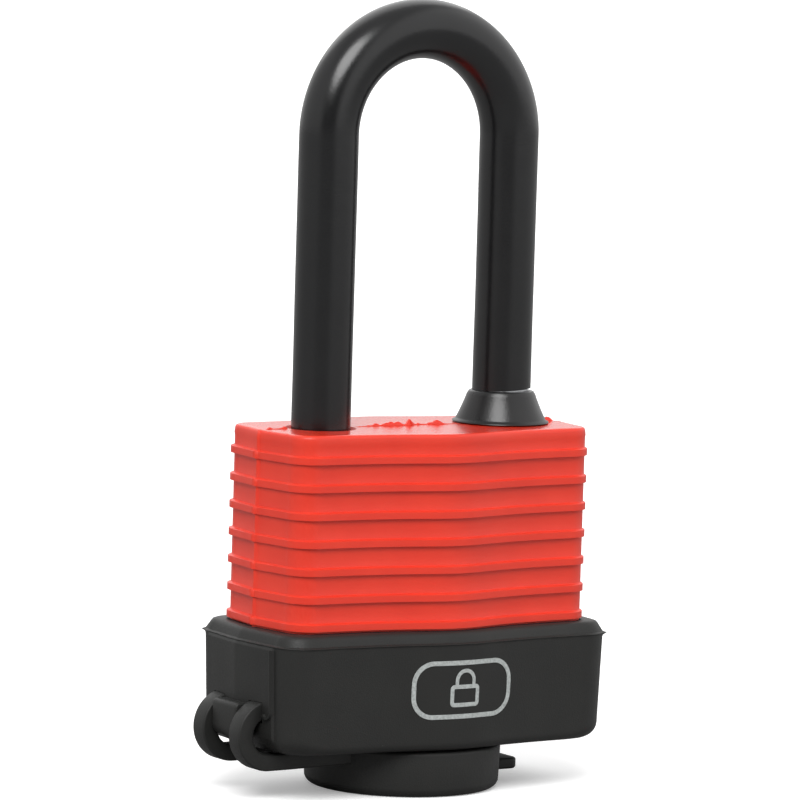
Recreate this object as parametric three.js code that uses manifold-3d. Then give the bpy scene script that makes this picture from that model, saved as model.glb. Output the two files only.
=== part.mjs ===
// Keyed weatherproof padlock: a riveted stack of steel plates with a pin tumbler cylinder and two
// locking bolts, in a ribbed plastic jacket and a bottom cover, with a strap-hinged cap over the keyway
// and a sleeved shackle whose toe leg carries a cone seal.
//
// Millimetres. X runs across the front (the heel leg is at -X, the toe leg at +X), Y runs to the back,
// Z runs up. The origin is the centre of the keyway cap's flat underside.
// Rest pose: shackle down, bolts drawn in, cap shut.

import * as THREE from 'three';
import { mergeVertices } from 'three/addons/utils/BufferGeometryUtils.js';
import Module from 'manifold-3d';

const wasm = await Module();
wasm.setup();

// ---------------------------------------------------------------- driving sizes

const JACKET_WIDTH = 48.8;
const JACKET_DEPTH = 21.0; // across the flat stretches beside the corners
const JACKET_BULGE = 2.8; // how far the middle of the front and the back stands out
const JACKET_SIDE_WALL = 2.3; // from the rib crests in
const JACKET_TOP_WALL = 2.0;
const JACKET_HEADROOM = 0.25; // between the top plate and the jacket
const LEG_SPACING = 28.68;
const ROD_RADIUS = 3.55;
const SHACKLE_TOP = 106.65; // over the sleeve
const SLEEVE_WALL = 0.41;
const CAP_RADIUS = 13.4;
const CAP_HEIGHT = 6.2;
const COVER_TOP = 22.6;
const COVER_END_WALL = 2.15; // how far the cover stands out from the rib crests at its ends
const COVER_SIDE_WALL = 2.1; // and at its front and back
const SHACKLE_LIFT = 13.0;
const BOLT_TRAVEL = 2.0;
const PLATE_COUNT = 15;
const PLATE_PITCH = 2.5;
const PLUG_RADIUS = 4.5;

// ---------------------------------------------------------------- clearances

const FIT = 0.05; // pieces that sit still against each other
const RUNNING = 0.1; // turning and sliding pieces
const LOOSE = 0.2; // the shackle's legs in the plates
const GAP = 0.3; // pieces that only pass each other

// ---------------------------------------------------------------- rib and cover sizes

const RIB_COUNT = 7;
const RIB_PITCH = 3.712;
const RIB_PROUD = 0.45;
const RIB_CREST = 0.84;
const RIB_FOOT = 1.36;
const TOP_RIB_BELOW_TOP = 3.32;
const JACKET_CORNER_RADIUS = 3.75;
const COVER_CORNER_RADIUS = 4.2;
const END_BEVEL = 0.7; // the end faces fall back by this much towards the corners

const COVER_BULGE = 2.1;
const COVER_FLOOR = 2.7;
const COVER_TAPER = 0.5; // how much it draws in from its lip to its foot
const COVER_LIP_BELOW_TOP = 1.65;
const KEYWAY_OPENING_RADIUS = 8.3;
const PANEL_HALF_WIDTH = 8.6;
const PANEL_PROUD = 0.3;
const PANEL_TOP = 20.4;
const PANEL_ABOVE_BOTTOM = 2.0;

const STRAP_RADIUS = 4.75; // outside of the strap's loop
const STRAP_THICKNESS = 2.25;
const STRAP_SET_IN = 1.9; // from the cover's end in to the middle of the loop
const STRAP_ROOT_DEPTH = 1.35; // how deep the strap sits in the cover's end wall
const STRAP_WIDTH = 2.9;
const STRAP_SPACING = 9.5;
const TAB_REACH = 17.15;
const TAB_HALF_WIDTH = 3.2;
const TAB_BOTTOM = 1.45;
const TAB_THICKNESS = 1.5;

// ---------------------------------------------------------------- lock work sizes

const RIVET_RADIUS = 1.2;
const RIVET_HEAD_RADIUS = 1.8;
const RIVET_FROM_END = 5.3;
const RIVET_FROM_SIDE = 5.4;
const SHELL_WALL = 1.8;
const PIN_TOWER_HALF_WIDTH = 2.6;
const PIN_TOWER_HEIGHT = 3.0; // above the shell's round wall
const PIN_COUNT = 4;
const PIN_PITCH = 4.0;
const PIN_RADIUS = 1.25;
const FIRST_PIN_ABOVE_SHELL = 3.2;
const KEY_PIN_LENGTHS = [2.6, 3.4, 3.0, 3.7];
const DRIVER_PIN_LENGTH = 1.9;
const PIN_SPRING_WIRE = 0.15;
const BOLT_SPRING_WIRE = 0.2;
const BOLT_SPRING_RADIUS = 0.8;
const TAIL_RADIUS = 3.4;
const CAM_SHAFT_RADIUS = 3.0;
const CAM_SHORT = 3.0;
const NOSE_HALF_WIDTH = 2.4;
const BOLT_HALF_WIDTH = 4.6;
const BOLT_SHOULDER = 6.0;
const BOLT_SPRING_ROOM = 4.2;
const NOTCH_DEPTH = 1.9;
const RETAINER_RADIUS = 1.0;
const RETAINER_FLAT = 2.2; // from the heel leg's axis to the flat that the retainer runs along

// ---------------------------------------------------------------- worked-out places

const legX = LEG_SPACING / 2;
const sleeveRadius = ROD_RADIUS + FIT + SLEEVE_WALL;
const archZ = SHACKLE_TOP - legX - sleeveRadius;
const coverBottom = CAP_HEIGHT + GAP;
const stackBottom = coverBottom + COVER_FLOOR + RUNNING;
const plateThickness = PLATE_PITCH - FIT;
const plateBottom = (index) => stackBottom + index * PLATE_PITCH;
const jacketCeiling = plateBottom(PLATE_COUNT) - FIT + JACKET_HEADROOM;
const jacketTop = jacketCeiling + JACKET_TOP_WALL;

const SHELL_FIRST_PLATE = 1;
const CLIP_PLATE = 9;
const TOE_FIRST_PLATE = 10;
const HEEL_FIRST_PLATE = 4;
const RETAINER_PLATE = 11;
const BOLT_FIRST_PLATE = 12;
const TOP_PLATE = PLATE_COUNT - 1;

const boltBottom = plateBottom(BOLT_FIRST_PLATE) + GAP;
const boltTop = plateBottom(TOP_PLATE) - FIT - GAP;
const boltReach = legX - ROD_RADIUS - 0.4; // tip of a drawn-in bolt
const toeEnd = plateBottom(TOE_FIRST_PLATE) + 2.2;
const heelEnd = plateBottom(HEEL_FIRST_PLATE) + GAP;
const rivetX = JACKET_WIDTH / 2 - RIVET_FROM_END;
const rivetY = JACKET_DEPTH / 2 - RIVET_FROM_SIDE;
const coverEndX = JACKET_WIDTH / 2 + COVER_END_WALL;
const strapX = -(coverEndX - STRAP_SET_IN);
const strapZ = CAP_HEIGHT - FIT + STRAP_RADIUS - STRAP_THICKNESS;

// ---------------------------------------------------------------- solids

const asSolid = (geometry) => {
  const bare = geometry.clone();
  bare.deleteAttribute('normal');
  bare.deleteAttribute('uv');
  const merged = mergeVertices(bare, 1e-5);
  const vertProperties = new Float32Array(merged.attributes.position.array);
  const triVerts = new Uint32Array(merged.index.array);
  return new wasm.Manifold(new wasm.Mesh({ numProp: 3, vertProperties, triVerts }));
};

const asGeometry = (solid) => {
  const mesh = solid.getMesh();
  const geometry = new THREE.BufferGeometry();
  geometry.setAttribute('position', new THREE.BufferAttribute(new Float32Array(mesh.vertProperties), 3));
  geometry.setIndex(new THREE.BufferAttribute(new Uint32Array(mesh.triVerts), 1));
  geometry.computeVertexNormals();
  return geometry;
};

const joined = (...pieces) => asGeometry(pieces.map(asSolid).reduce((sum, next) => sum.add(next)));

const cutBy = (piece, ...tools) => {
  const left = tools.map(asSolid).reduce((rest, tool) => rest.subtract(tool), asSolid(piece));
  return asGeometry(left);
};

const sharedBy = (piece, tool) => asGeometry(asSolid(piece).intersect(asSolid(tool)));

// A box between two corners.
const box = (low, high) => {
  const size = high.map((value, i) => value - low[i]);
  const geometry = new THREE.BoxGeometry(...size);
  return geometry.translate(...low.map((value, i) => value + size[i] / 2));
};

// A round bar along Z.
const bar = (radius, bottom, top, sides, x = 0, y = 0) => {
  const geometry = new THREE.CylinderGeometry(radius, radius, top - bottom, sides);
  return geometry.rotateX(Math.PI / 2).translate(x, y, (bottom + top) / 2);
};

// A shape turned about Z from [radius, z] points.
const turned = (profile, sides) => {
  const points = profile.map(([radius, z]) => new THREE.Vector2(radius, z));
  return new THREE.LatheGeometry(points, sides).rotateX(Math.PI / 2);
};

const shapeOf = (points) => new THREE.Shape(points.map(([x, y]) => new THREE.Vector2(x, y)));

// A plan outline raised along Z.
const raised = (points, bottom, top) => {
  const geometry = new THREE.ExtrudeGeometry(shapeOf(points), { depth: top - bottom, bevelEnabled: false });
  return geometry.translate(0, 0, bottom);
};

// A side outline of [x, z] points carried along Y.
const carried = (points, near, far) => {
  const flipped = points.map(([x, z]) => [x, -z]);
  const geometry = new THREE.ExtrudeGeometry(shapeOf(flipped), { depth: far - near, bevelEnabled: false });
  return geometry.rotateX(-Math.PI / 2).translate(0, near, 0);
};

// A closed skin over a stack of equal rings of Vector3, each running anticlockwise about the way the
// stack is going.
const skinned = (rings) => {
  const sides = rings[0].length;
  const middle = (ring) => ring.reduce((sum, point) => sum.add(point), new THREE.Vector3()).divideScalar(sides);
  const points = [...rings.flat(), middle(rings[0]), middle(rings.at(-1))];
  const lastRing = (rings.length - 1) * sides;
  const [startMiddle, endMiddle] = [rings.length * sides, rings.length * sides + 1];
  const index = [];
  for (let side = 0; side < sides; side += 1) {
    const next = (side + 1) % sides;
    for (let level = 0; level < lastRing; level += sides) {
      const [a, b] = [level + side, level + next];
      index.push(a, b, b + sides, a, b + sides, a + sides);
    }
    index.push(startMiddle, next, side);
    index.push(endMiddle, lastRing + side, lastRing + next);
  }
  const geometry = new THREE.BufferGeometry();
  geometry.setAttribute('position', new THREE.Float32BufferAttribute(points.flatMap((p) => [p.x, p.y, p.z]), 3));
  geometry.setIndex(index);
  geometry.computeVertexNormals();
  return geometry;
};

// A coil spring along Z.
const coil = (meanRadius, wire, bottom, top, turns) => {
  const length = top - bottom - 2 * wire;
  class Helix extends THREE.Curve {
    getPoint(t, target = new THREE.Vector3()) {
      const angle = t * turns * 2 * Math.PI;
      return target.set(meanRadius * Math.cos(angle), meanRadius * Math.sin(angle), bottom + wire + t * length);
    }
  }
  const section = new THREE.Shape(new THREE.EllipseCurve(0, 0, wire, wire).getPoints(5).slice(0, 5));
  return new THREE.ExtrudeGeometry(section, { extrudePath: new Helix(), steps: turns * 8 });
};

const alongX = (geometry) => geometry.rotateY(Math.PI / 2);
const alongY = (geometry) => geometry.rotateX(-Math.PI / 2);

// ---------------------------------------------------------------- plan outline

const jacketPlan = {
  halfWidth: JACKET_WIDTH / 2,
  halfDepth: JACKET_DEPTH / 2,
  corner: JACKET_CORNER_RADIUS,
  bulge: JACKET_BULGE,
};
const coverPlan = {
  halfWidth: coverEndX,
  halfDepth: JACKET_DEPTH / 2 + COVER_SIDE_WALL,
  corner: COVER_CORNER_RADIUS,
  bulge: COVER_BULGE,
};

// A plan drawn in by inset: bevelled ends, round corners, and a front and a back that swell in the
// middle with a faint hollow on each side of it.
const planOutline = (plan, inset, cornerSteps = 4, frontSteps = 9) => {
  const { halfWidth, halfDepth, corner, bulge } = plan;
  const endX = halfWidth - END_BEVEL;
  const cornerX = endX - corner;
  const cornerY = halfDepth - corner;
  const radius = corner - inset;
  const swell = (x) => {
    const sharp = Math.exp(-((x / (0.31 * cornerX)) ** 2));
    const broad = Math.cos((Math.PI / 2) * (x / cornerX)) ** 2;
    return (bulge * (sharp + broad)) / 2;
  };
  const quarter = [[endX + END_BEVEL - inset, 0]];
  for (let step = 0; step <= cornerSteps; step += 1) {
    const angle = (step / cornerSteps) * (Math.PI / 2);
    quarter.push([cornerX + radius * Math.cos(angle), cornerY + radius * Math.sin(angle)]);
  }
  for (let step = 1; step <= frontSteps; step += 1) {
    const x = cornerX * (1 - step / frontSteps);
    quarter.push([x, halfDepth - inset + swell(x)]);
  }
  const left = quarter.slice(0, -1).reverse().map(([x, y]) => [-x, y]);
  const back = [...quarter, ...left];
  const front = back.slice(1, -1).reverse().map(([x, y]) => [x, -y]);
  return [...back, ...front];
};

const outlineStack = (plan, levels) =>
  skinned(levels.map(([z, inset]) => planOutline(plan, inset).map(([x, y]) => new THREE.Vector3(x, y, z))));

// ---------------------------------------------------------------- materials

const material = (color, roughness, metalness = 0) => new THREE.MeshStandardMaterial({ color, roughness, metalness });

const redPlastic = material(0xe64330, 0.45);
const blackPlastic = material(0x282a28, 0.6);
const blackVinyl = material(0x1c1d1e, 0.35);
const blackRubber = material(0x141414, 0.3);
const brightSteel = material(0xc4c6c8, 0.2, 1);
const plateSteel = material(0x9a9c9e, 0.4, 1);
const springSteel = material(0xb0b2b4, 0.3, 1);
const brass = material(0xc9a24a, 0.3, 1);

const padlock = new THREE.Group();
const add = (name, geometry, surface) => {
  const mesh = new THREE.Mesh(geometry, surface);
  mesh.name = name;
  padlock.add(mesh);
};

// ---------------------------------------------------------------- weather jacket

const jacketBase = RIB_PROUD + FIT; // how far the wall between ribs lies inside the rib crests
const ribLevels = () => {
  const levels = [];
  for (let rib = RIB_COUNT - 1; rib >= 0; rib -= 1) {
    const middle = jacketTop - TOP_RIB_BELOW_TOP - rib * RIB_PITCH;
    levels.push([middle - RIB_FOOT / 2, jacketBase]);
    levels.push([middle - RIB_CREST / 2, 0]);
    levels.push([middle + RIB_CREST / 2, 0]);
    levels.push([middle + RIB_FOOT / 2, jacketBase]);
  }
  return levels;
};

const weatherJacket = () => {
  const shell = outlineStack(jacketPlan, [
    [coverBottom + COVER_FLOOR + GAP, jacketBase],
    ...ribLevels(),
    [jacketTop - 0.9, jacketBase - 0.2],
    [jacketTop - 0.3, jacketBase],
    [jacketTop, jacketBase + 0.7],
  ]);
  const hollow = raised(planOutline(jacketPlan, JACKET_SIDE_WALL), coverBottom, jacketCeiling);
  const holeRadius = sleeveRadius + GAP;
  const holes = [-legX, legX].map((x) => bar(holeRadius, jacketCeiling - 1, jacketTop + 1, 24, x));
  return cutBy(shell, hollow, ...holes);
};

// ---------------------------------------------------------------- bottom cover

const loopPoints = (startDegrees, endDegrees, radius, steps = 8) => {
  const points = [];
  for (let step = 0; step <= steps; step += 1) {
    const angle = THREE.MathUtils.degToRad(startDegrees + ((endDegrees - startDegrees) * step) / steps);
    points.push([strapX + radius * Math.cos(angle), strapZ + radius * Math.sin(angle)]);
  }
  return points;
};
const strapInside = STRAP_RADIUS - STRAP_THICKNESS;
const strapRootX = -coverEndX + STRAP_ROOT_DEPTH;
const rootDegrees = (radius) => 90 + THREE.MathUtils.radToDeg(Math.asin((strapX - strapRootX) / radius));
const strapMiddles = [-STRAP_SPACING / 2, STRAP_SPACING / 2];

const bottomCover = () => {
  const lip = COVER_TOP - COVER_LIP_BELOW_TOP;
  const shell = outlineStack(coverPlan, [
    [coverBottom, COVER_TAPER + 1.2],
    [coverBottom + 0.4, COVER_TAPER + 0.5],
    [coverBottom + 1.3, COVER_TAPER],
    [lip, 0],
    [lip + 0.05, 0.25],
    [COVER_TOP - 0.6, 0.35],
    [COVER_TOP, 1.1],
  ]);
  const panelBottom = coverBottom + PANEL_ABOVE_BOTTOM;
  const panelSkin = raised(planOutline(coverPlan, -PANEL_PROUD), panelBottom, PANEL_TOP);
  const panels = [-1, 1].map((side) => {
    const [inner, outer] = [side * (coverEndX - 2), side * (coverEndX + 1)];
    const [low, high] = [Math.min(inner, outer), Math.max(inner, outer)];
    const end = box([low, -PANEL_HALF_WIDTH, panelBottom - 1], [high, PANEL_HALF_WIDTH, PANEL_TOP + 1]);
    return sharedBy(panelSkin, end);
  });
  const knuckleHalfWidth = (STRAP_SPACING - STRAP_WIDTH) / 2 - 2 * RUNNING;
  const knuckleTop = strapZ + STRAP_RADIUS - 0.3;
  const knuckle = carried(
    [
      [-coverEndX + 1, coverBottom + 1],
      [-coverEndX + 1, knuckleTop],
      [-coverEndX - 1.1, knuckleTop],
      [-coverEndX - 1.7, knuckleTop - 0.6],
      [-coverEndX - 1.7, strapZ],
      [-coverEndX - 1.1, strapZ - 0.9],
      [-coverEndX + 0.3, coverBottom + 1],
    ].reverse(),
    -knuckleHalfWidth,
    knuckleHalfWidth,
  );
  const hollow = raised(planOutline(jacketPlan, jacketBase - FIT), coverBottom + COVER_FLOOR, COVER_TOP + 1);
  const opening = bar(KEYWAY_OPENING_RADIUS, coverBottom - 1, coverBottom + COVER_FLOOR + 1, 32);
  const slots = strapMiddles.map((y) => {
    const half = STRAP_WIDTH / 2 + RUNNING;
    const [low, high] = [strapZ, strapZ + STRAP_RADIUS + RUNNING];
    return box([-coverEndX - 1, y - half, low], [strapRootX + RUNNING, y + half, high]);
  });
  return cutBy(joined(shell, ...panels, knuckle), hollow, opening, ...slots);
};

// ---------------------------------------------------------------- keyway cap and its straps

const strapGapDegrees = THREE.MathUtils.radToDeg(GAP / 2 / STRAP_RADIUS);

const capStrap = (y) => {
  const side = [
    ...loopPoints(rootDegrees(STRAP_RADIUS), 180 - strapGapDegrees, STRAP_RADIUS),
    ...loopPoints(180 - strapGapDegrees, rootDegrees(strapInside), strapInside),
  ];
  return carried(side, y - STRAP_WIDTH / 2, y + STRAP_WIDTH / 2);
};

const keywayCap = () => {
  const bossRadius = KEYWAY_OPENING_RADIUS - GAP - RUNNING;
  const bossTop = CAP_HEIGHT + 1.7;
  const disc = turned(
    [
      [0, 0],
      [CAP_RADIUS - 1.0, 0],
      [CAP_RADIUS - 0.3, 0.3],
      [CAP_RADIUS, 1.0],
      [CAP_RADIUS, CAP_HEIGHT - 0.6],
      [CAP_RADIUS - 0.5, CAP_HEIGHT],
      [bossRadius, CAP_HEIGHT],
      [bossRadius, bossTop - 0.3],
      [bossRadius - 0.3, bossTop],
      [0, bossTop],
    ],
    48,
  );
  const arms = strapMiddles.map((y) => {
    const side = [
      ...loopPoints(180 + strapGapDegrees, 270, STRAP_RADIUS),
      [-CAP_RADIUS + 3, strapZ - STRAP_RADIUS],
      [-CAP_RADIUS + 3, strapZ - strapInside],
      ...loopPoints(270, 180 + strapGapDegrees, strapInside),
    ];
    return carried(side, y - STRAP_WIDTH / 2, y + STRAP_WIDTH / 2);
  });
  const tabEnd = TAB_REACH - TAB_HALF_WIDTH;
  const tabTop = TAB_BOTTOM + TAB_THICKNESS;
  const tab = box([CAP_RADIUS - 3, -TAB_HALF_WIDTH, TAB_BOTTOM], [tabEnd, TAB_HALF_WIDTH, tabTop]);
  const tabTip = bar(TAB_HALF_WIDTH, TAB_BOTTOM, tabTop, 24, tabEnd);
  return joined(disc, ...arms, tab, tabTip);
};

// ---------------------------------------------------------------- shackle, sleeve and seal

const ROD_SIDES = 20;
const ARCH_STEPS = 20;

// Rings along the shackle's line, from a height on the heel leg to a height on the toe leg. A tip of
// [length, radius] narrows an end.
const shackleRings = (radius, heelZ, toeZ, heelTip = [0, radius], toeTip = [0, radius]) => {
  const ring = (x, z, inward, ringRadius) => {
    const points = [];
    for (let side = 0; side < ROD_SIDES; side += 1) {
      const angle = (side / ROD_SIDES) * 2 * Math.PI;
      const out = inward.clone().multiplyScalar(ringRadius * Math.cos(angle));
      points.push(new THREE.Vector3(x, ringRadius * Math.sin(angle), z).add(out));
    }
    return points;
  };
  const towardToe = new THREE.Vector3(1, 0, 0);
  const towardHeel = new THREE.Vector3(-1, 0, 0);
  const rings = [];
  if (heelTip[0] > 0) rings.push(ring(-legX, heelZ, towardToe, heelTip[1]));
  rings.push(ring(-legX, heelZ + heelTip[0], towardToe, radius));
  for (let step = 0; step <= ARCH_STEPS; step += 1) {
    const angle = Math.PI * (1 - step / ARCH_STEPS);
    const inward = new THREE.Vector3(-Math.cos(angle), 0, -Math.sin(angle));
    rings.push(ring(legX * Math.cos(angle), archZ + legX * Math.sin(angle), inward, radius));
  }
  rings.push(ring(legX, toeZ + toeTip[0], towardHeel, radius));
  if (toeTip[0] > 0) rings.push(ring(legX, toeZ, towardHeel, toeTip[1]));
  return rings;
};

const shackle = () => {
  const rod = skinned(shackleRings(ROD_RADIUS, heelEnd, toeEnd, [0.4, ROD_RADIUS - 0.4], [0.9, ROD_RADIUS - 0.9]));
  const notch = (side, lift) => {
    const face = side * (legX - ROD_RADIUS + NOTCH_DEPTH);
    const open = side * (legX - ROD_RADIUS - 1);
    const low = boltBottom - GAP - lift;
    return box([Math.min(face, open), -ROD_RADIUS - 1, low], [Math.max(face, open), ROD_RADIUS + 1, boltTop + GAP - lift]);
  };
  const flatTop = plateBottom(RETAINER_PLATE + 1) + LOOSE;
  const flatBottom = plateBottom(RETAINER_PLATE) - SHACKLE_LIFT - LOOSE;
  const flat = box([-legX - 5, RETAINER_FLAT, flatBottom], [-legX + 5, 5, flatTop]);
  return cutBy(rod, notch(1, 0), notch(-1, 0), notch(-1, SHACKLE_LIFT), flat);
};

const SEAL_HEIGHT = 4.4;
const SEAL_FLARE = 2.52; // how far its foot stands out from the sleeve
const SEAL_LIP = 0.34; // how far its top does
const sealBaseRadius = sleeveRadius + SEAL_FLARE;
const sealTopRadius = sleeveRadius + SEAL_LIP;
const sleeveHeelEnd = jacketCeiling + 0.6;
const sealTop = jacketTop + FIT + SEAL_HEIGHT;

const shackleSleeve = () => {
  const outside = shackleRings(sleeveRadius, sleeveHeelEnd, sealTop + 0.1);
  outside.at(-1).forEach((point) => {
    point.z += 0.09 * (point.x - legX + sleeveRadius);
  });
  const inside = shackleRings(ROD_RADIUS + FIT, sleeveHeelEnd - 1, sealTop - 1);
  return cutBy(skinned(outside), skinned(inside));
};

const toeSeal = () => {
  const bore = ROD_RADIUS + FIT;
  const bottom = jacketTop + FIT;
  const spigotRadius = sleeveRadius + FIT;
  const ringProfile = [
    [bore, bottom - 0.8],
    [spigotRadius, bottom - 0.8],
    [spigotRadius, bottom],
    [sealBaseRadius - 0.2, bottom],
    [sealBaseRadius, bottom + 0.35],
    [sealTopRadius + 0.75, sealTop - 1.3],
    [sealTopRadius, sealTop - 0.2],
    [sealTopRadius - 0.2, sealTop],
    [bore, sealTop],
    [bore, bottom - 0.8],
  ];
  return turned(ringProfile, ROD_SIDES * 2).translate(legX, 0, 0);
};

// ---------------------------------------------------------------- cylinder

const shellRadius = PLUG_RADIUS + SHELL_WALL;
const shellBottom = plateBottom(SHELL_FIRST_PLATE) + RUNNING;
const shellTop = plateBottom(CLIP_PLATE) - RUNNING;
const plugBottom = stackBottom + RUNNING;
const tailTop = plateBottom(TOE_FIRST_PLATE) - GAP;
const tongueBottom = tailTop - 1.5;
const towerReach = shellRadius + PIN_TOWER_HEIGHT;
const pinZ = (index) => shellBottom + FIRST_PIN_ABOVE_SHELL + index * PIN_PITCH;
const pinBar = (index, radius, near, far) => alongY(bar(radius, near, far, 12)).translate(0, 0, pinZ(index));

const shellOutline = (grow) => {
  const [radius, half, reach] = [shellRadius + grow, PIN_TOWER_HALF_WIDTH + grow, towerReach + grow];
  const shoulder = Math.asin(half / radius);
  const points = [[half, reach], [-half, reach]];
  const steps = 20;
  for (let step = 0; step <= steps; step += 1) {
    const angle = Math.PI / 2 + shoulder + ((2 * Math.PI - 2 * shoulder) * step) / steps;
    points.push([radius * Math.cos(angle), radius * Math.sin(angle)]);
  }
  return points;
};

const cylinderShell = () => {
  const bore = bar(PLUG_RADIUS + RUNNING, shellBottom - 1, shellTop + 1, 32);
  const chambers = KEY_PIN_LENGTHS.map((length, i) => pinBar(i, PIN_RADIUS + RUNNING, 2, towerReach + 1));
  return cutBy(raised(shellOutline(0), shellBottom, shellTop), bore, ...chambers);
};

const plug = () => {
  const barrel = turned(
    [
      [0, plugBottom],
      [PLUG_RADIUS - 0.3, plugBottom],
      [PLUG_RADIUS, plugBottom + 0.3],
      [PLUG_RADIUS, shellTop],
      [TAIL_RADIUS, shellTop],
      [TAIL_RADIUS, tailTop],
      [0, tailTop],
    ],
    32,
  );
  const keyway = box([-0.7, -3.4, plugBottom - 1], [0.7, 1.9, shellTop - 1.5]);
  const ward = box([-1.4, -1.6, plugBottom - 1], [0.2, -0.6, shellTop - 1.5]);
  const slot = box([-1, -TAIL_RADIUS - 1, tongueBottom - 0.1], [1, TAIL_RADIUS + 1, tailTop + 1]);
  const chambers = KEY_PIN_LENGTHS.map((length, i) => pinBar(i, PIN_RADIUS + RUNNING, 0.6, PLUG_RADIUS + 1));
  return cutBy(barrel, keyway, ward, slot, ...chambers);
};

const plugClip = () => {
  const bottom = shellTop + 2 * RUNNING;
  const inner = TAIL_RADIUS + FIT;
  const profile = [[inner, bottom], [5.4, bottom], [5.4, bottom + 1], [inner, bottom + 1], [inner, bottom]];
  return turned(profile, 24);
};

const camLong = CAM_SHORT + BOLT_TRAVEL;

const cam = () => {
  const lobe = bar(1, boltBottom + RUNNING, boltTop - RUNNING, 40).scale(CAM_SHORT, camLong, 1);
  const shaft = bar(CAM_SHAFT_RADIUS, tailTop + FIT, boltBottom + 1, 24);
  const tongue = box([-1 + FIT, -2.5, tongueBottom], [1 - FIT, 2.5, tailTop + 1]);
  return joined(lobe, shaft, tongue);
};

// ---------------------------------------------------------------- locking bolts

const boltInner = CAM_SHORT + GAP;
const springSeat = BOLT_SHOULDER + BOLT_SPRING_ROOM;
const springY = NOSE_HALF_WIDTH + 1.25;
const boltMiddle = (boltBottom + boltTop) / 2;

const bolt = (side) => {
  const outline = [
    [boltInner, -BOLT_HALF_WIDTH],
    [BOLT_SHOULDER, -BOLT_HALF_WIDTH],
    [BOLT_SHOULDER, -NOSE_HALF_WIDTH],
    [boltReach - 0.4, -NOSE_HALF_WIDTH],
    [boltReach, -NOSE_HALF_WIDTH + 0.6],
    [boltReach, NOSE_HALF_WIDTH - 0.6],
    [boltReach - 0.4, NOSE_HALF_WIDTH],
    [BOLT_SHOULDER, NOSE_HALF_WIDTH],
    [BOLT_SHOULDER, BOLT_HALF_WIDTH],
    [boltInner, BOLT_HALF_WIDTH],
  ];
  const turnedRound = side > 0 ? outline : outline.map(([x, y]) => [-x, -y]);
  return raised(turnedRound, boltBottom, boltTop);
};

const boltSpring = (side) => {
  const spring = coil(BOLT_SPRING_RADIUS, BOLT_SPRING_WIRE, BOLT_SHOULDER + FIT, springSeat - FIT, 5);
  const laid = alongX(spring).translate(0, springY, boltMiddle);
  return side > 0 ? laid : laid.rotateZ(Math.PI).translate(0, 2 * springY, 0);
};

// ---------------------------------------------------------------- plates, rivets and retainer

const rivetPlaces = [1, -1].flatMap((sx) => [-1, 1].map((sy) => [sx * rivetX, sy * rivetY]));

const plate = (index) => {
  const [bottom, top] = [plateBottom(index), plateBottom(index) + plateThickness];
  const through = (radius, sides, x = 0, y = 0) => bar(radius, bottom - 1, top + 1, sides, x, y);
  const isEnd = index === 0 || index === TOP_PLATE;
  const rivetHole = (isEnd ? RIVET_HEAD_RADIUS : RIVET_RADIUS) + FIT;
  const tools = rivetPlaces.map(([x, y]) => through(rivetHole, 12, x, y));
  const legHole = ROD_RADIUS + LOOSE;
  if (index >= TOE_FIRST_PLATE) tools.push(through(legHole, 20, legX));
  if (index >= HEEL_FIRST_PLATE) tools.push(through(legHole, 20, -legX));
  if (index < SHELL_FIRST_PLATE) tools.push(through(PLUG_RADIUS + RUNNING + FIT, 24));
  if (index >= SHELL_FIRST_PLATE && index < CLIP_PLATE) {
    tools.push(raised(shellOutline(RUNNING), bottom - 1, top + 1));
  }
  if (index === CLIP_PLATE) tools.push(through(5.7, 24));
  if (index > CLIP_PLATE && index < BOLT_FIRST_PLATE) tools.push(through(CAM_SHAFT_RADIUS + GAP, 24));
  if (index === RETAINER_PLATE) {
    const [x, y] = [-legX, RETAINER_FLAT + LOOSE + RETAINER_RADIUS];
    const half = [RETAINER_LENGTH / 2 + FIT, RETAINER_RADIUS + FIT];
    tools.push(box([x - half[0], y - half[1], bottom - 1], [x + half[0], y + half[1], top + 1]));
  }
  if (index >= BOLT_FIRST_PLATE && index < TOP_PLATE) {
    const [wide, nose] = [BOLT_HALF_WIDTH + GAP, NOSE_HALF_WIDTH + LOOSE];
    tools.push(box([-springSeat, -wide, bottom - 1], [springSeat, wide, top + 1]));
    tools.push(box([-legX, -nose, bottom - 1], [legX, nose, top + 1]));
    tools.push(through(camLong + GAP, 32));
  }
  const steel = raised(planOutline(jacketPlan, JACKET_SIDE_WALL + RUNNING, 3, 4), bottom, top);
  return cutBy(steel, ...tools);
};

const rivet = (x, y) => {
  const [bottom, top] = [stackBottom + FIT, plateBottom(TOP_PLATE) + plateThickness - FIT];
  const [lowNeck, highNeck] = [plateBottom(1) - 2 * FIT, plateBottom(TOP_PLATE) + FIT];
  const profile = [
    [0, bottom],
    [RIVET_HEAD_RADIUS, bottom],
    [RIVET_HEAD_RADIUS, lowNeck],
    [RIVET_RADIUS, lowNeck],
    [RIVET_RADIUS, highNeck],
    [RIVET_HEAD_RADIUS, highNeck],
    [RIVET_HEAD_RADIUS, top],
    [0, top],
  ];
  return turned(profile, 12).translate(x, y, 0);
};

const RETAINER_LENGTH = 7.2;
const shackleRetainer = () => {
  const pin = alongX(bar(RETAINER_RADIUS, -RETAINER_LENGTH / 2, RETAINER_LENGTH / 2, 16));
  const middle = plateBottom(RETAINER_PLATE) + plateThickness / 2;
  return pin.translate(-legX, RETAINER_FLAT + LOOSE + RETAINER_RADIUS, middle);
};

// ---------------------------------------------------------------- assembly

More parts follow.
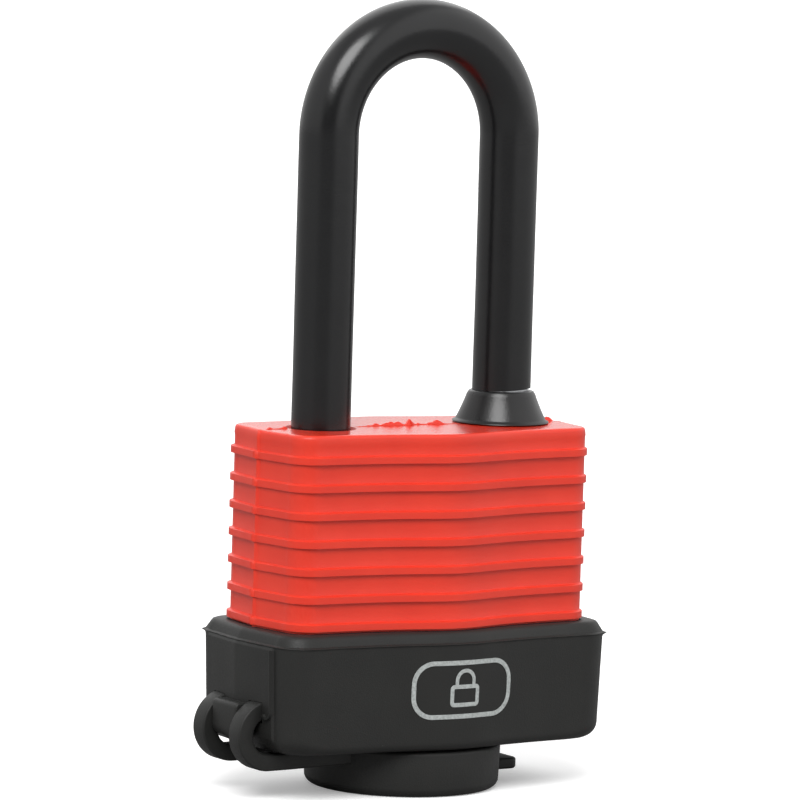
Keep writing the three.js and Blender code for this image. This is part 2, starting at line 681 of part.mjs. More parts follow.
add('weather_jacket', weatherJacket(), redPlastic);
add('bottom_cover', bottomCover(), blackPlastic);
add('keyway_cap', keywayCap(), blackPlastic);
add('cap_strap_front', capStrap(strapMiddles[0]), blackPlastic);
add('cap_strap_rear', capStrap(strapMiddles[1]), blackPlastic);
add('shackle', shackle(), brightSteel);
add('shackle_sleeve', shackleSleeve(), blackVinyl);
add('toe_seal', toeSeal(), blackRubber);

for (let index = 0; index < PLATE_COUNT; index += 1) {
  add(`body_plate_${String(index + 1).padStart(2, '0')}`, plate(index), plateSteel);
}
rivetPlaces.forEach(([x, y], i) => add(`rivet_${i + 1}`, rivet(x, y), plateSteel));
add('shackle_retainer', shackleRetainer(), springSteel);

add('cylinder_shell', cylinderShell(), brass);
add('plug', plug(), brass);
add('plug_clip', plugClip(), springSteel);
add('cam', cam(), springSteel);
add('bolt_toe', bolt(1), brightSteel);
add('bolt_heel', bolt(-1), brightSteel);
add('bolt_spring_toe', boltSpring(1), springSteel);
add('bolt_spring_heel', boltSpring(-1), springSteel);

KEY_PIN_LENGTHS.forEach((length, i) => {
  const shearLine = PLUG_RADIUS - FIT;
  const driverStart = PLUG_RADIUS + 2 * RUNNING;
  const springStart = driverStart + DRIVER_PIN_LENGTH + FIT;
  const spring = coil(PIN_RADIUS - 2 * PIN_SPRING_WIRE, PIN_SPRING_WIRE, springStart, towerReach - FIT, 4);
  // its outer end is rounded with the plug, so that it clears the shell as the plug turns
  const withinPlug = bar(shearLine, shellBottom, shellTop, 48);
  add(`key_pin_${i + 1}`, sharedBy(pinBar(i, PIN_RADIUS, shearLine - length, shearLine), withinPlug), brass);
  add(`driver_pin_${i + 1}`, pinBar(i, PIN_RADIUS, driverStart, driverStart + DRIVER_PIN_LENGTH), brass);
  add(`pin_spring_${i + 1}`, alongY(spring).translate(0, 0, pinZ(i)), springSteel);
});

export default padlock;
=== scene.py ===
# Keyed weatherproof padlock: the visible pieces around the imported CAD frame.
# Sizes in the dictionaries are in millimetres unless a note says otherwise; meshes are in metres.

import math
import random

import bmesh
import bpy
import numpy as np
from mathutils import Matrix, Vector


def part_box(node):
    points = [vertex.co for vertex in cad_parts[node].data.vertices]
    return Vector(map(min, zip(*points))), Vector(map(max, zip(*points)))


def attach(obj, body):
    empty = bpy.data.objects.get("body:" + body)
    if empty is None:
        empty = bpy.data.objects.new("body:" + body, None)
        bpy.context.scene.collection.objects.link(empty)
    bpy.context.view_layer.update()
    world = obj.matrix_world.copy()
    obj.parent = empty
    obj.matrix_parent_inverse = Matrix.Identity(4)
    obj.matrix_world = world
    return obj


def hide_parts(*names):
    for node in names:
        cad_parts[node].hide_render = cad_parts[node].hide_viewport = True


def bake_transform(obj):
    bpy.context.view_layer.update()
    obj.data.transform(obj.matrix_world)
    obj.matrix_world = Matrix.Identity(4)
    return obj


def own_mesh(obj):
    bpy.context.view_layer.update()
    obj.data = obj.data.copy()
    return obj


mm = 0.001
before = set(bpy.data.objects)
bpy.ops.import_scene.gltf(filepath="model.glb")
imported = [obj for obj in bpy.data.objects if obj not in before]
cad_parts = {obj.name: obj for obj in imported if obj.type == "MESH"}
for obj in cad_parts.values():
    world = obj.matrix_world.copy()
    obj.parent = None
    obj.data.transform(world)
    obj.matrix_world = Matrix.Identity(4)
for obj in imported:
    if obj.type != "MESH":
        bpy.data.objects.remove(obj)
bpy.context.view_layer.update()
print("frame loaded")


def nodeBox(name):
    low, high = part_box(name)
    return np.array(low) / mm, np.array(high) / mm


jacketLow, jacketHigh = nodeBox("weather_jacket")
coverLow, coverHigh = nodeBox("bottom_cover")
capLow, capHigh = nodeBox("keyway_cap")
rodLow, rodHigh = nodeBox("shackle")
sleeveLow, sleeveHigh = nodeBox("shackle_sleeve")
sealLow, sealHigh = nodeBox("toe_seal")

rodRadius = (rodHigh[1] - rodLow[1]) / 2
sleeveRadius = (sleeveHigh[1] - sleeveLow[1]) / 2
legX = sleeveHigh[0] - sleeveRadius
archZ = sleeveHigh[2] - sleeveRadius - legX
jacketTop = jacketHigh[2]
coverBottom, coverTop = coverLow[2], coverHigh[2]


camera = {
    "yaw": 32.144,  # degrees; the camera stands in front, to the left
    "pitch": 5.269,  # degrees down
    "roll": 1.704,
    "distance": 759.67,
    "aimHeight": 52.144,
    "lens": 252.35,
    "shift": (-0.01508, 0.00232),  # shares of the frame
}


def placeCamera():
    yaw, pitch, roll = (math.radians(camera[k]) for k in ("yaw", "pitch", "roll"))
    ahead = Vector((math.sin(yaw) * math.cos(pitch), math.cos(yaw) * math.cos(pitch), -math.sin(pitch)))
    level = Vector((math.cos(yaw), -math.sin(yaw), 0))
    upright = level.cross(ahead)
    right = math.cos(roll) * level + math.sin(roll) * upright
    up = -math.sin(roll) * level + math.cos(roll) * upright
    eye = (Vector((0, 0, camera["aimHeight"])) - ahead * camera["distance"]) * mm
    data = bpy.data.cameras.new("camera")
    data.lens = camera["lens"]
    data.sensor_width = 36
    data.shift_x, data.shift_y = camera["shift"]
    data.clip_start, data.clip_end = 0.01, 20
    holder = bpy.data.objects.new("camera", data)
    turn = Matrix((right, up, -ahead)).transposed().to_4x4()
    holder.matrix_world = Matrix.Translation(eye) @ turn
    bpy.context.scene.collection.objects.link(holder)
    bpy.context.scene.camera = holder


placeCamera()
print("camera placed")


# Adds an object called what its mesh is called.
def addObject(mesh):
    piece = bpy.data.objects.new(mesh.name, mesh)
    bpy.context.scene.collection.objects.link(piece)
    return piece


def meshFrom(name, points, faces):
    mesh = bpy.data.meshes.new(name)
    mesh.from_pydata((np.asarray(points, float) * mm).tolist(), [], faces)
    mesh.update()
    return mesh


# Smooth shading that keeps the edges sharper than the angle.
def shade(piece, angle=38):
    mesh = piece.data
    mesh.polygons.foreach_set("use_smooth", [True] * len(mesh.polygons))
    mesh.set_sharp_from_angle(angle=math.radians(angle))
    mesh.update()
    return piece


def recalculated(mesh, mergeDistance=0.0):
    work = bmesh.new()
    work.from_mesh(mesh)
    if mergeDistance:
        bmesh.ops.remove_doubles(work, verts=work.verts, dist=mergeDistance * mm)
    bmesh.ops.recalc_face_normals(work, faces=work.faces)
    work.to_mesh(mesh)
    work.free()
    mesh.update()
    return mesh


# A closed skin over a stack of equal rings, anticlockwise about the way the stack goes.
# The ends are closed with fans, or flat across for outlines that bend inwards; looped joins the
# last ring to the first instead.
def skin(name, rings, looped=False, fanned=True):
    rings = np.asarray(rings, float)
    levels, sides = rings.shape[:2]
    faces = []
    for level in range(levels if looped else levels - 1):
        a = level * sides
        b = ((level + 1) % levels) * sides
        faces += [(a + s, a + (s + 1) % sides, b + (s + 1) % sides, b + s) for s in range(sides)]
    points = rings.reshape(-1, 3)
    top = (levels - 1) * sides
    if not looped and not fanned:
        faces += [tuple(reversed(range(sides))), tuple(range(top, top + sides))]
    elif not looped:
        middles = [rings[0].mean(0), rings[-1].mean(0)]
        points = np.vstack([points, middles])
        first, last = len(points) - 2, len(points) - 1
        faces += [(first, (s + 1) % sides, s) for s in range(sides)]
        faces += [(last, top + s, top + (s + 1) % sides) for s in range(sides)]
    return meshFrom(name, points, faces)


# A shape turned about a vertical axis from (radius, z) points; a profile that leaves the axis out
# closes on itself.
def turned(name, profile, sides, x=0.0):
    onAxis = profile[0][0] == 0
    inner = profile[1:-1] if onAxis else profile
    angles = np.linspace(0, 2 * math.pi, sides, endpoint=False)
    rings = [[(x + r * math.cos(a), r * math.sin(a), z) for a in angles] for r, z in inner]
    return recalculated(skin(name, rings, looped=not onAxis))


def quarterTurn(steps):
    return [step / steps * math.pi / 2 for step in range(steps + 1)]


# Unit directions to the left of a flat line's own directions.
def leftOf(along):
    left = np.stack([-along[:, 1], along[:, 0]], 1)
    return left / np.linalg.norm(left, axis=1)[:, None]


# The directions of a closed outline at its points.
def around(points):
    return np.roll(points, -1, 0) - np.roll(points, 1, 0)


# The corners of an upright rectangle, with one radius for its left pair and one for its right.
def boxCorners(left, right, low, high, leftRadius=0, rightRadius=0):
    return [(left, low, leftRadius), (right, low, rightRadius), (right, high, rightRadius),
            (left, high, leftRadius)]


# Rounds each corner of a flat outline with an arc; an entry is (across, up, radius).
def roundedOutline(corners, steps=6):
    points = []
    count = len(corners)
    for i, (x, z, radius) in enumerate(corners):
        here = np.array((x, z), float)
        before = np.array(corners[i - 1][:2], float) - here
        after = np.array(corners[(i + 1) % count][:2], float) - here
        if radius <= 0:
            points.append(here)
            continue
        before, after = before / np.linalg.norm(before), after / np.linalg.norm(after)
        half = math.acos(np.clip(before @ after, -1, 1)) / 2
        reach = radius / math.tan(half)
        start, end = here + before * reach, here + after * reach
        middle = here + (before + after) / np.linalg.norm(before + after) * radius / math.sin(half)
        a0 = math.atan2(*(start - middle)[::-1])
        a1 = math.atan2(*(end - middle)[::-1])
        turn = (a1 - a0 + math.pi) % (2 * math.pi) - math.pi
        for step in range(steps + 1):
            a = a0 + turn * step / steps
            points.append(middle + radius * np.array((math.cos(a), math.sin(a))))
    return np.array(points)


# Applies every modifier and leaves a plain mesh on the object.
def frozen(piece):
    bpy.context.view_layer.update()
    graph = bpy.context.evaluated_depsgraph_get()
    mesh = bpy.data.meshes.new_from_object(piece.evaluated_get(graph))
    piece.modifiers.clear()
    piece.data = mesh
    return piece


def combined(piece, operation, others):
    for other in others:
        step = piece.modifiers.new("combine", "BOOLEAN")
        step.operation = operation
        step.object = other
        step.solver = "EXACT"
    frozen(piece)
    for other in others:
        bpy.data.objects.remove(other)
    return piece


def cutAway(piece, *tools):
    return combined(piece, "DIFFERENCE", tools)


def merged(piece, *others):
    return combined(piece, "UNION", others)


# Puts meshes in one object as they are, without a boolean.
def joinedTo(piece, *others):
    work = bmesh.new()
    for source in (piece, *others):
        work.from_mesh(source.data)
    mesh = bpy.data.meshes.new(piece.name)
    work.to_mesh(mesh)
    work.free()
    piece.data = mesh
    for other in others:
        bpy.data.objects.remove(other)
    return piece


def dress(piece, material, slot, body, *nodes):
    piece.data.materials.clear()
    piece.data.materials.append(material)
    if nodes:
        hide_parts(*nodes)
    if body:
        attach(piece, body)
    return piece


def smoothStep(low, high, value):
    t = np.clip((value - low) / (high - low), 0, 1)
    return t * t * (3 - 2 * t)


class NodeBuilder:
    def __init__(self, tree):
        self.tree = tree

    def add(self, kind, inputs=None, **settings):
        node = self.tree.nodes.new(kind)
        for key, value in settings.items():
            setattr(node, key, value)
        for key, value in (inputs or {}).items():
            socket = node.inputs[key]
            if isinstance(value, bpy.types.NodeSocket):
                self.tree.links.new(value, socket)
            else:
                socket.default_value = value
        return node

    def math(self, operation, a, b=0.0):
        return self.add("ShaderNodeMath", {0: a, 1: b}, operation=operation).outputs[0]

    def plus(self, a, b):
        return self.math("ADD", a, b)

    def minus(self, a, b):
        return self.math("SUBTRACT", a, b)

    def times(self, a, b):
        return self.math("MULTIPLY", a, b)

    def over(self, a, b):
        return self.math("DIVIDE", a, b)

    def ramp(self, value, fromLow, fromHigh, toLow=0.0, toHigh=1.0, smooth=False):
        kind = "SMOOTHSTEP" if smooth else "LINEAR"
        inputs = {"Value": value, "From Min": fromLow, "From Max": fromHigh,
                  "To Min": toLow, "To Max": toHigh}
        return self.add("ShaderNodeMapRange", inputs, interpolation_type=kind).outputs[0]

    def mixColour(self, factor, a, b):
        return self.add("ShaderNodeMix", {0: factor, 6: a, 7: b}, data_type="RGBA").outputs[2]

    def noise(self, vector, scale, detail=2.0, roughness=0.5):
        inputs = {"Vector": vector, "Scale": scale, "Detail": detail, "Roughness": roughness}
        return self.add("ShaderNodeTexNoise", inputs).outputs["Fac"]


# A socket's type goes by its first value; one without a value is called by its type.
def socketType(title, value):
    if value is None:
        return "NodeSocket" + title
    if isinstance(value, tuple):
        return "NodeSocketVector"
    return "NodeSocketInt" if isinstance(value, int) else "NodeSocketFloat"


def newTree(name, kind, ins, outs):
    tree = bpy.data.node_groups.new(name, kind)
    for title, value in ins.items():
        kindOfSocket = socketType(title, value)
        socket = tree.interface.new_socket(name=title, in_out="INPUT", socket_type=kindOfSocket)
        if value is not None:
            socket.default_value = value
    for title in outs:
        kindOfSocket = "NodeSocketGeometry" if title == "Geometry" else "NodeSocketFloat"
        tree.interface.new_socket(name=title, in_out="OUTPUT", socket_type=kindOfSocket)
    start, end = tree.nodes.new("NodeGroupInput"), tree.nodes.new("NodeGroupOutput")
    return tree, NodeBuilder(tree), start.outputs, end.inputs


# Ends a shape's tree: real geometry in the tree's own material.
def endTree(tree, b, i, o, shape):
    real = b.add("GeometryNodeRealizeInstances", {0: shape}).outputs[0]
    done = b.add("GeometryNodeSetMaterial", {"Geometry": real, "Material": i["Material"]}).outputs[0]
    tree.links.new(done, o["Geometry"])
    return tree


# Runs a shape's tree on a piece and leaves a plain mesh.
def runTree(piece, tree, values):
    step = piece.modifiers.new("shape", "NODES")
    step.node_group = tree
    for item in tree.interface.items_tree:
        if item.in_out == "INPUT" and item.name in values:
            step[item.identifier] = values[item.name]
    return frozen(piece)


# Fine moulded grain with a slow swell under it.
def makeGrainGroup():
    ins = {
        "Vector": None,
        "Grain Size": 0.25,
        "Swell Size": 6.0,
        "Swell Share": 0.4,
    }
    tree, b, i, o = newTree("mouldedGrain", "ShaderNodeTree", ins, ["Height", "Mottle"])
    fine = b.noise(i["Vector"], b.over(1000.0, i["Grain Size"]), 2.0, 0.55)
    slow = b.noise(i["Vector"], b.over(1000.0, i["Swell Size"]), 1.0)
    height = b.plus(fine, b.times(slow, i["Swell Share"]))
    tree.links.new(height, o["Height"])
    tree.links.new(slow, o["Mottle"])
    return tree


# Scattered dust grains: a mask that is 1 on each grain.
def makeDustGroup():
    ins = {
        "Vector": None,
        "Spacing": 3.0,
        "Grain": 0.06,
        "Amount": 0.3,
    }
    tree, b, i, o = newTree("dustGrains", "ShaderNodeTree", ins, ["Mask"])
    cells = b.add("ShaderNodeTexVoronoi", {"Vector": i["Vector"], "Randomness": 1.0})
    tree.links.new(b.over(1000.0, i["Spacing"]), cells.inputs["Scale"])
    near = b.math("LESS_THAN", cells.outputs["Distance"], b.over(i["Grain"], i["Spacing"]))
    pick = b.add("ShaderNodeSeparateColor", {0: cells.outputs["Color"]}).outputs[0]
    chosen = b.math("LESS_THAN", pick, i["Amount"])
    tree.links.new(b.times(near, chosen), o["Mask"])
    return tree


# Long fine scratches and machining streaks, drawn out along one axis by the mapping.
def makeStreakGroup():
    ins = {
        "Vector": None,
        "Stretch": (1.0, 1.0, 0.05),
        "Streak Size": 0.15,
    }
    tree, b, i, o = newTree("machiningStreaks", "ShaderNodeTree", ins, ["Height"])
    drawn = b.add("ShaderNodeVectorMath", {0: i["Vector"], 1: i["Stretch"]}, operation="MULTIPLY").outputs[0]
    streaks = b.noise(drawn, b.over(1000.0, i["Streak Size"]), 3.0, 0.6)
    tree.links.new(streaks, o["Height"])
    return tree


grainGroup, dustGroup, streakGroup = makeGrainGroup(), makeDustGroup(), makeStreakGroup()


def useGroup(builder, group, inputs):
    return builder.add("ShaderNodeGroup", inputs, node_tree=group).outputs


def newMaterial(name, constants):
    material = bpy.data.materials.new(name)
    material.use_nodes = True
    tree = material.node_tree
    tree.nodes.clear()
    builder = NodeBuilder(tree)
    shader = builder.add("ShaderNodeBsdfPrincipled", constants)
    output = builder.add("ShaderNodeOutputMaterial")
    tree.links.new(shader.outputs[0], output.inputs["Surface"])
    place = builder.add("ShaderNodeTexCoord").outputs["Object"]
    return material, builder, shader, place


def setBump(builder, shader, height, strength, depth):
    bump = builder.add("ShaderNodeBump", {"Strength": strength, "Distance": depth * mm, "Height": height})
    builder.tree.links.new(bump.outputs[0], shader.inputs["Normal"])


def plasticMaterial(name, look):
    material, b, shader, place = newMaterial(name, look["constants"])
    grain = useGroup(b, grainGroup, {
        "Vector": place, "Grain Size": look["grain"],
        "Swell Size": look["swell"], "Swell Share": look["swellShare"],
    })
    dust = useGroup(b, dustGroup, {
        "Vector": place, "Spacing": look["dustSpacing"],
        "Grain": look["dustGrain"], "Amount": look["dustAmount"],
    })["Mask"]
    mottled = b.mixColour(b.ramp(grain["Mottle"], 0.3, 0.7), look["colour"], look["colourAway"])
    coloured = b.mixColour(b.times(dust, look["dustShow"]), mottled, look["dustColour"])
    b.tree.links.new(coloured, shader.inputs["Base Color"])
    low, high = look["roughness"]
    rough = b.ramp(grain["Height"], 0.4, 1.0, low, high)
    if "polishedAbove" in look:
        height = b.add("ShaderNodeSeparateXYZ", {0: place}).outputs[2]
        onTop = b.math("GREATER_THAN", height, look["polishedAbove"] * mm)
        rough = b.times(rough, b.ramp(onTop, 0.0, 1.0, 1.0, look["polish"]))
    b.tree.links.new(rough, shader.inputs["Roughness"])
    setBump(b, shader, grain["Height"], look["bump"], look["bumpDepth"])
    return material


def metalMaterial(name, look):
    material, b, shader, place = newMaterial(name, look["constants"])
    streaks = useGroup(b, streakGroup, {
        "Vector": place, "Stretch": look["stretch"], "Streak Size": look["streak"],
    })["Height"]
    grain = useGroup(b, grainGroup, {
        "Vector": place, "Grain Size": look["grain"], "Swell Size": look["swell"], "Swell Share": 0.5,
    })
    tinted = b.mixColour(b.ramp(grain["Mottle"], 0.35, 0.65), look["colour"], look["colourAway"])
    b.tree.links.new(tinted, shader.inputs["Base Color"])
    low, high = look["roughness"]
    b.tree.links.new(b.ramp(streaks, 0.3, 0.7, low, high), shader.inputs["Roughness"])
    height = b.plus(streaks, b.times(grain["Height"], 0.3))
    setBump(b, shader, height, look["bump"], look["bumpDepth"])
    return material


redLook = {
    "colour": (0.76, 0.038, 0.015, 1), "colourAway": (0.72, 0.033, 0.013, 1),
    "roughness": (0.36, 0.46), "grain": 0.16, "swell": 5.0, "swellShare": 0.5,
    "bump": 0.55, "bumpDepth": 0.03, "polishedAbove": jacketTop - 0.06, "polish": 0.4,
    "dustSpacing": 2.6, "dustGrain": 0.05, "dustAmount": 0.16, "dustShow": 0.55,
    "dustColour": (0.95, 0.42, 0.34, 1),
    "constants": {
        "Subsurface Weight": 0.12, "Subsurface Radius": (1.0, 0.25, 0.15), "Subsurface Scale": 0.0012,
        "IOR": 1.5,
    },
}
blackLook = {
    "colour": (0.0150, 0.0152, 0.0140, 1), "colourAway": (0.0128, 0.0130, 0.0122, 1),
    "roughness": (0.46, 0.60), "grain": 0.20, "swell": 6.0, "swellShare": 0.4,
    "bump": 0.6, "bumpDepth": 0.035,
    "dustSpacing": 2.2, "dustGrain": 0.05, "dustAmount": 0.14, "dustShow": 0.35,
    "dustColour": (0.16, 0.17, 0.16, 1),
    "constants": {"IOR": 1.48, "Specular IOR Level": 0.4},
}
vinylLook = {
    "colour": (0.0060, 0.0062, 0.0066, 1), "colourAway": (0.0045, 0.0045, 0.0050, 1),
    "roughness": (0.17, 0.25), "grain": 0.35, "swell": 4.0, "swellShare": 1.2,
    "bump": 0.35, "bumpDepth": 0.03,
    "dustSpacing": 3.0, "dustGrain": 0.05, "dustAmount": 0.12, "dustShow": 0.3,
    "dustColour": (0.10, 0.10, 0.10, 1),
    "constants": {"IOR": 1.52},
}
rubberLook = dict(vinylLook, roughness=(0.20, 0.32), grain=0.28, bumpDepth=0.045)
steelLook = {
    "colour": (0.72, 0.73, 0.74, 1), "colourAway": (0.66, 0.67, 0.69, 1),
    "roughness": (0.12, 0.24), "stretch": (1.0, 1.0, 0.04), "streak": 0.12, "grain": 0.3, "swell": 8.0,
    "bump": 0.3, "bumpDepth": 0.01, "constants": {"Metallic": 1.0},
}
plateLook = dict(steelLook, colour=(0.50, 0.51, 0.52, 1), colourAway=(0.42, 0.43, 0.44, 1),
                 roughness=(0.28, 0.44), stretch=(0.05, 1.0, 1.0), streak=0.2, bumpDepth=0.02)
springLook = dict(steelLook, colour=(0.58, 0.59, 0.61, 1), colourAway=(0.52, 0.53, 0.55, 1),
                  roughness=(0.2, 0.34))
brassLook = dict(steelLook, colour=(0.66, 0.44, 0.15, 1), colourAway=(0.58, 0.38, 0.13, 1),
                 roughness=(0.18, 0.32), stretch=(1.0, 1.0, 0.1), streak=0.18, bumpDepth=0.015)

redPlastic = plasticMaterial("redPlastic", redLook)
blackPlastic = plasticMaterial("blackPlastic", blackLook)
blackVinyl = plasticMaterial("blackVinyl", vinylLook)
blackRubber = plasticMaterial("blackRubber", rubberLook)
brightSteel = metalMaterial("brightSteel", steelLook)
plateSteel = metalMaterial("plateSteel", plateLook)
springSteel = metalMaterial("springSteel", springLook)
brass = metalMaterial("brass", brassLook)
print("materials made")


jacketPlan = {
    "halfWidth": jacketHigh[0],
    "halfDepth": 10.5,  # across the flat stretches beside the corners
    "bulge": jacketHigh[1] - 10.5,
    "corner": 3.75,
}
coverPlan = {
    "halfWidth": coverHigh[0] - 0.3,
    "halfDepth": coverHigh[1] - 2.1,
    "bulge": 2.1,
    "corner": 4.2,
}
endBevel = 0.7  # the end faces fall back by this much towards the corners
outlineSteps = {"end": 22, "corner": 26, "front": 56}


# How far a plan's front stands out at a place along it.
def frontReach(plan, x):
    cornerX = plan["halfWidth"] - endBevel - plan["corner"]
    sharp = np.exp(-((x / (0.31 * cornerX)) ** 2))
    broad = np.cos(math.pi / 2 * x / cornerX) ** 2
    return plan["halfDepth"] + plan["bulge"] * (sharp + broad) / 2


# A plan's points and outward directions, anticlockwise from the middle of the +X end.
def planOutline(plan):
    endX, radius = plan["halfWidth"] - endBevel, plan["corner"]
    cornerX, cornerY = endX - radius, plan["halfDepth"] - radius
    quarter = []
    for step in range(outlineSteps["end"]):
        share = step / outlineSteps["end"]
        quarter.append((endX + endBevel * (1 - share), cornerY * share))
    for step in range(outlineSteps["corner"]):
        angle = step / outlineSteps["corner"] * math.pi / 2
        quarter.append((cornerX + radius * math.cos(angle), cornerY + radius * math.sin(angle)))
    for step in range(outlineSteps["front"] + 1):
        x = cornerX * (1 - step / outlineSteps["front"])
        quarter.append((x, frontReach(plan, x)))
    quarter = np.array(quarter)
    left = quarter[:-1][::-1] * (-1, 1)
    back = np.vstack([quarter, left])
    front = back[1:-1][::-1] * (1, -1)
    points = np.vstack([back, front])
    return points, -leftOf(around(points))


# Rings over a plan from (z, inset) levels; offset(x, y, z) adds to the outward reach.
def outlineRings(plan, levels, offset=None):
    points, outward = planOutline(plan)
    rings = []
    for z, inset in levels:
        reach = np.full(len(points), -inset, float)
        if offset is not None:
            reach += offset(points[:, 0], points[:, 1], z)
        flat = points + outward * reach[:, None]
        rings.append(np.column_stack([flat, np.full(len(flat), z)]))
    return np.array(rings)


jacket = {
    "ribs": 7,
    "ribPitch": 3.712,
    "ribBelowTop": 3.32,
    "ribHalf": 0.60,
    "ribProud": 0.50,
    "upperEdge": 0.22,  # how softly the rib's upper edge comes in
    "lowerEdge": 0.09,
    "wallInset": 0.50,
    "wall": 2.0,
    "sideWall": 2.3,
    "topRadius": 0.55,
    "frontProud": 0.24,  # the front mould half stands out past the back half
    "frontRibs": 0.62,  # height of its ribs by the ends, against the back half's
    "seamRidge": 0.30,
    "seamGroove": 0.36,
    "holeClearance": 0.30,
    "holeRim": [(0, -0.9), (0.15, -0.5), (0.45, -0.12), (0.8, 0.5)],  # (out, up) from the hole and the top
    "flashHeight": 0.80,
    "flashThickness": 0.35,
    "seed": 7,
}


# Raises equal ribs from a wall: each point moves along its "outward" attribute by the rib's height there.
def ribTree():
    ins = {
        "Geometry": None,
        "Rib Count": 7.0,
        "Rib Pitch": 0.0037,
        "Top Rib Height": 0.045,
        "Half Width": 0.0006,
        "Upper Edge": 0.0002,
        "Lower Edge": 0.0001,
        "Proud": 0.0005,
        "Material": None,
    }
    tree, b, i, o = newTree("ribbedWall", "GeometryNodeTree", ins, ["Geometry"])
    height = b.add("ShaderNodeSeparateXYZ", {0: b.add("GeometryNodeInputPosition").outputs[0]}).outputs[2]
    below = b.minus(i["Top Rib Height"], height)
    steps = b.plus(b.over(below, i["Rib Pitch"]), 0.5)
    index = b.math("FLOOR", steps)
    fromMiddle = b.times(b.minus(0.5, b.math("FRACT", steps)), i["Rib Pitch"])
    upper = b.ramp(fromMiddle, i["Half Width"], b.minus(i["Half Width"], i["Upper Edge"]), smooth=True)
    lowest = b.times(i["Half Width"], -1.0)
    lower = b.ramp(fromMiddle, lowest, b.plus(lowest, i["Lower Edge"]), smooth=True)
    inCount = b.times(b.math("GREATER_THAN", index, -0.5),
                     b.math("LESS_THAN", index, b.minus(i["Rib Count"], 0.5)))
    rise = b.times(b.times(upper, lower), b.times(inCount, i["Proud"]))
    outward = b.add("GeometryNodeInputNamedAttribute", {"Name": "outward"},
                    data_type="FLOAT_VECTOR").outputs[0]
    offset = b.add("ShaderNodeVectorMath", {0: outward, 3: rise}, operation="SCALE").outputs[0]
    moved = b.add("GeometryNodeSetPosition", {"Geometry": i["Geometry"], "Offset": offset}).outputs[0]
    return endTree(tree, b, i, o, moved)


def ribbed(piece, outward):
    piece.data.attributes.new("outward", "FLOAT_VECTOR", "POINT").data.foreach_set("vector", outward.ravel())
    runTree(piece, ribTree(), {
        "Rib Count": float(jacket["ribs"]),
        "Rib Pitch": jacket["ribPitch"] * mm,
        "Top Rib Height": (jacketTop - jacket["ribBelowTop"]) * mm,
        "Half Width": jacket["ribHalf"] * mm,
        "Upper Edge": jacket["upperEdge"] * mm,
        "Lower Edge": jacket["lowerEdge"] * mm,
        "Proud": jacket["ribProud"] * mm,
        "Material": redPlastic,
    })
    piece.data.attributes.remove(piece.data.attributes["outward"])
    return piece


# Heights of the jacket's rings: close together only where a rib's edge turns.
def jacketLevels():
    levels = []
    half, upper, lower = jacket["ribHalf"], jacket["upperEdge"], jacket["lowerEdge"]
    for rib in reversed(range(jacket["ribs"])):
        middle = jacketTop - jacket["ribBelowTop"] - rib * jacket["ribPitch"]
        levels += list(middle - half + np.linspace(-0.02, lower, 6))
        levels += [middle - 0.1]
        levels += list(middle + half - np.linspace(upper, -0.02, 7))
        levels += [middle + jacket["ribPitch"] / 2]
    first = [jacketLow[2], coverTop - 1.5]
    straight = [z for z in levels if z < jacketTop - 1.2]
    return first + [z for z in straight if z > first[-1] + 0.1]


def byTheEnds(x):
    return smoothStep(0.80, 0.98, np.abs(x) / jacketPlan["halfWidth"])


def jacketOffset(x, y, z):
    wander = 0.05 * np.sin(2.1 * z) + 0.04 * np.sin(5.3 * z + 1.0)
    frontHalf = smoothStep(0.06, -0.10, y - wander)
    step = jacket["frontProud"] * frontHalf * np.exp(-np.maximum(-y, 0) / 3.4)
    ridge = jacket["seamRidge"] * np.exp(-(((y - wander + 0.3) / 0.18) ** 2))
    groove = jacket["seamGroove"] * np.exp(-(((y - wander - 0.1) / 0.2) ** 2))
    return byTheEnds(x) * (step + ridge - groove)


def makeJacket():
    inset = jacket["wallInset"]
    levels = [(z, inset) for z in jacketLevels()]
    radius = jacket["topRadius"]
    levels += [(jacketTop - 1.1, inset - 0.06)]
    for angle in quarterTurn(6):
        levels.append((jacketTop - radius * (1 - math.sin(angle)), inset + radius * (1 - math.cos(angle))))
    outside = outlineRings(jacketPlan, levels, jacketOffset)
    crown = (0.9, 0.75, 0.5, 0.25)  # shares of the top's outline, where its rings lie
    top = outside[-1]
    inwards = [np.column_stack([top[:, 0] * s, top[:, 1] * s, top[:, 2]]) for s in crown]
    ceiling = jacketTop - jacket["wall"]
    inside = outlineRings(jacketPlan, [(ceiling, jacket["sideWall"]), (jacketLow[2], jacket["sideWall"])])
    rings = np.concatenate([inside, outside, inwards])
    piece = addObject(skin("weatherJacket", rings))
    points, outward = planOutline(jacketPlan)
    lower = (1 - jacket["frontRibs"]) * byTheEnds(points[:, 0]) * smoothStep(0.1, -0.1, points[:, 1])
    flat = np.column_stack([outward * (1 - lower)[:, None], np.zeros(len(outward))])
    blank = np.zeros_like(flat)
    outsides = [blank] * len(inside) + [flat] * len(outside) + [blank] * len(inwards)
    directions = np.vstack(outsides + [np.zeros((2, 3))])
    ribbed(piece, directions.astype(np.float32))
    hole = sleeveRadius + jacket["holeClearance"]
    rim = [(hole + out, jacketTop + up) for out, up in jacket["holeRim"]]
    profile = [(0, ceiling - 1), (hole, ceiling - 1), *rim, (0, rim[-1][1])]
    cutAway(piece, *[addObject(turned("cutter", profile, 72, x=x)) for x in (-legX, legX)])
    joinedTo(piece, makeFlash())
    return shade(piece, 32)


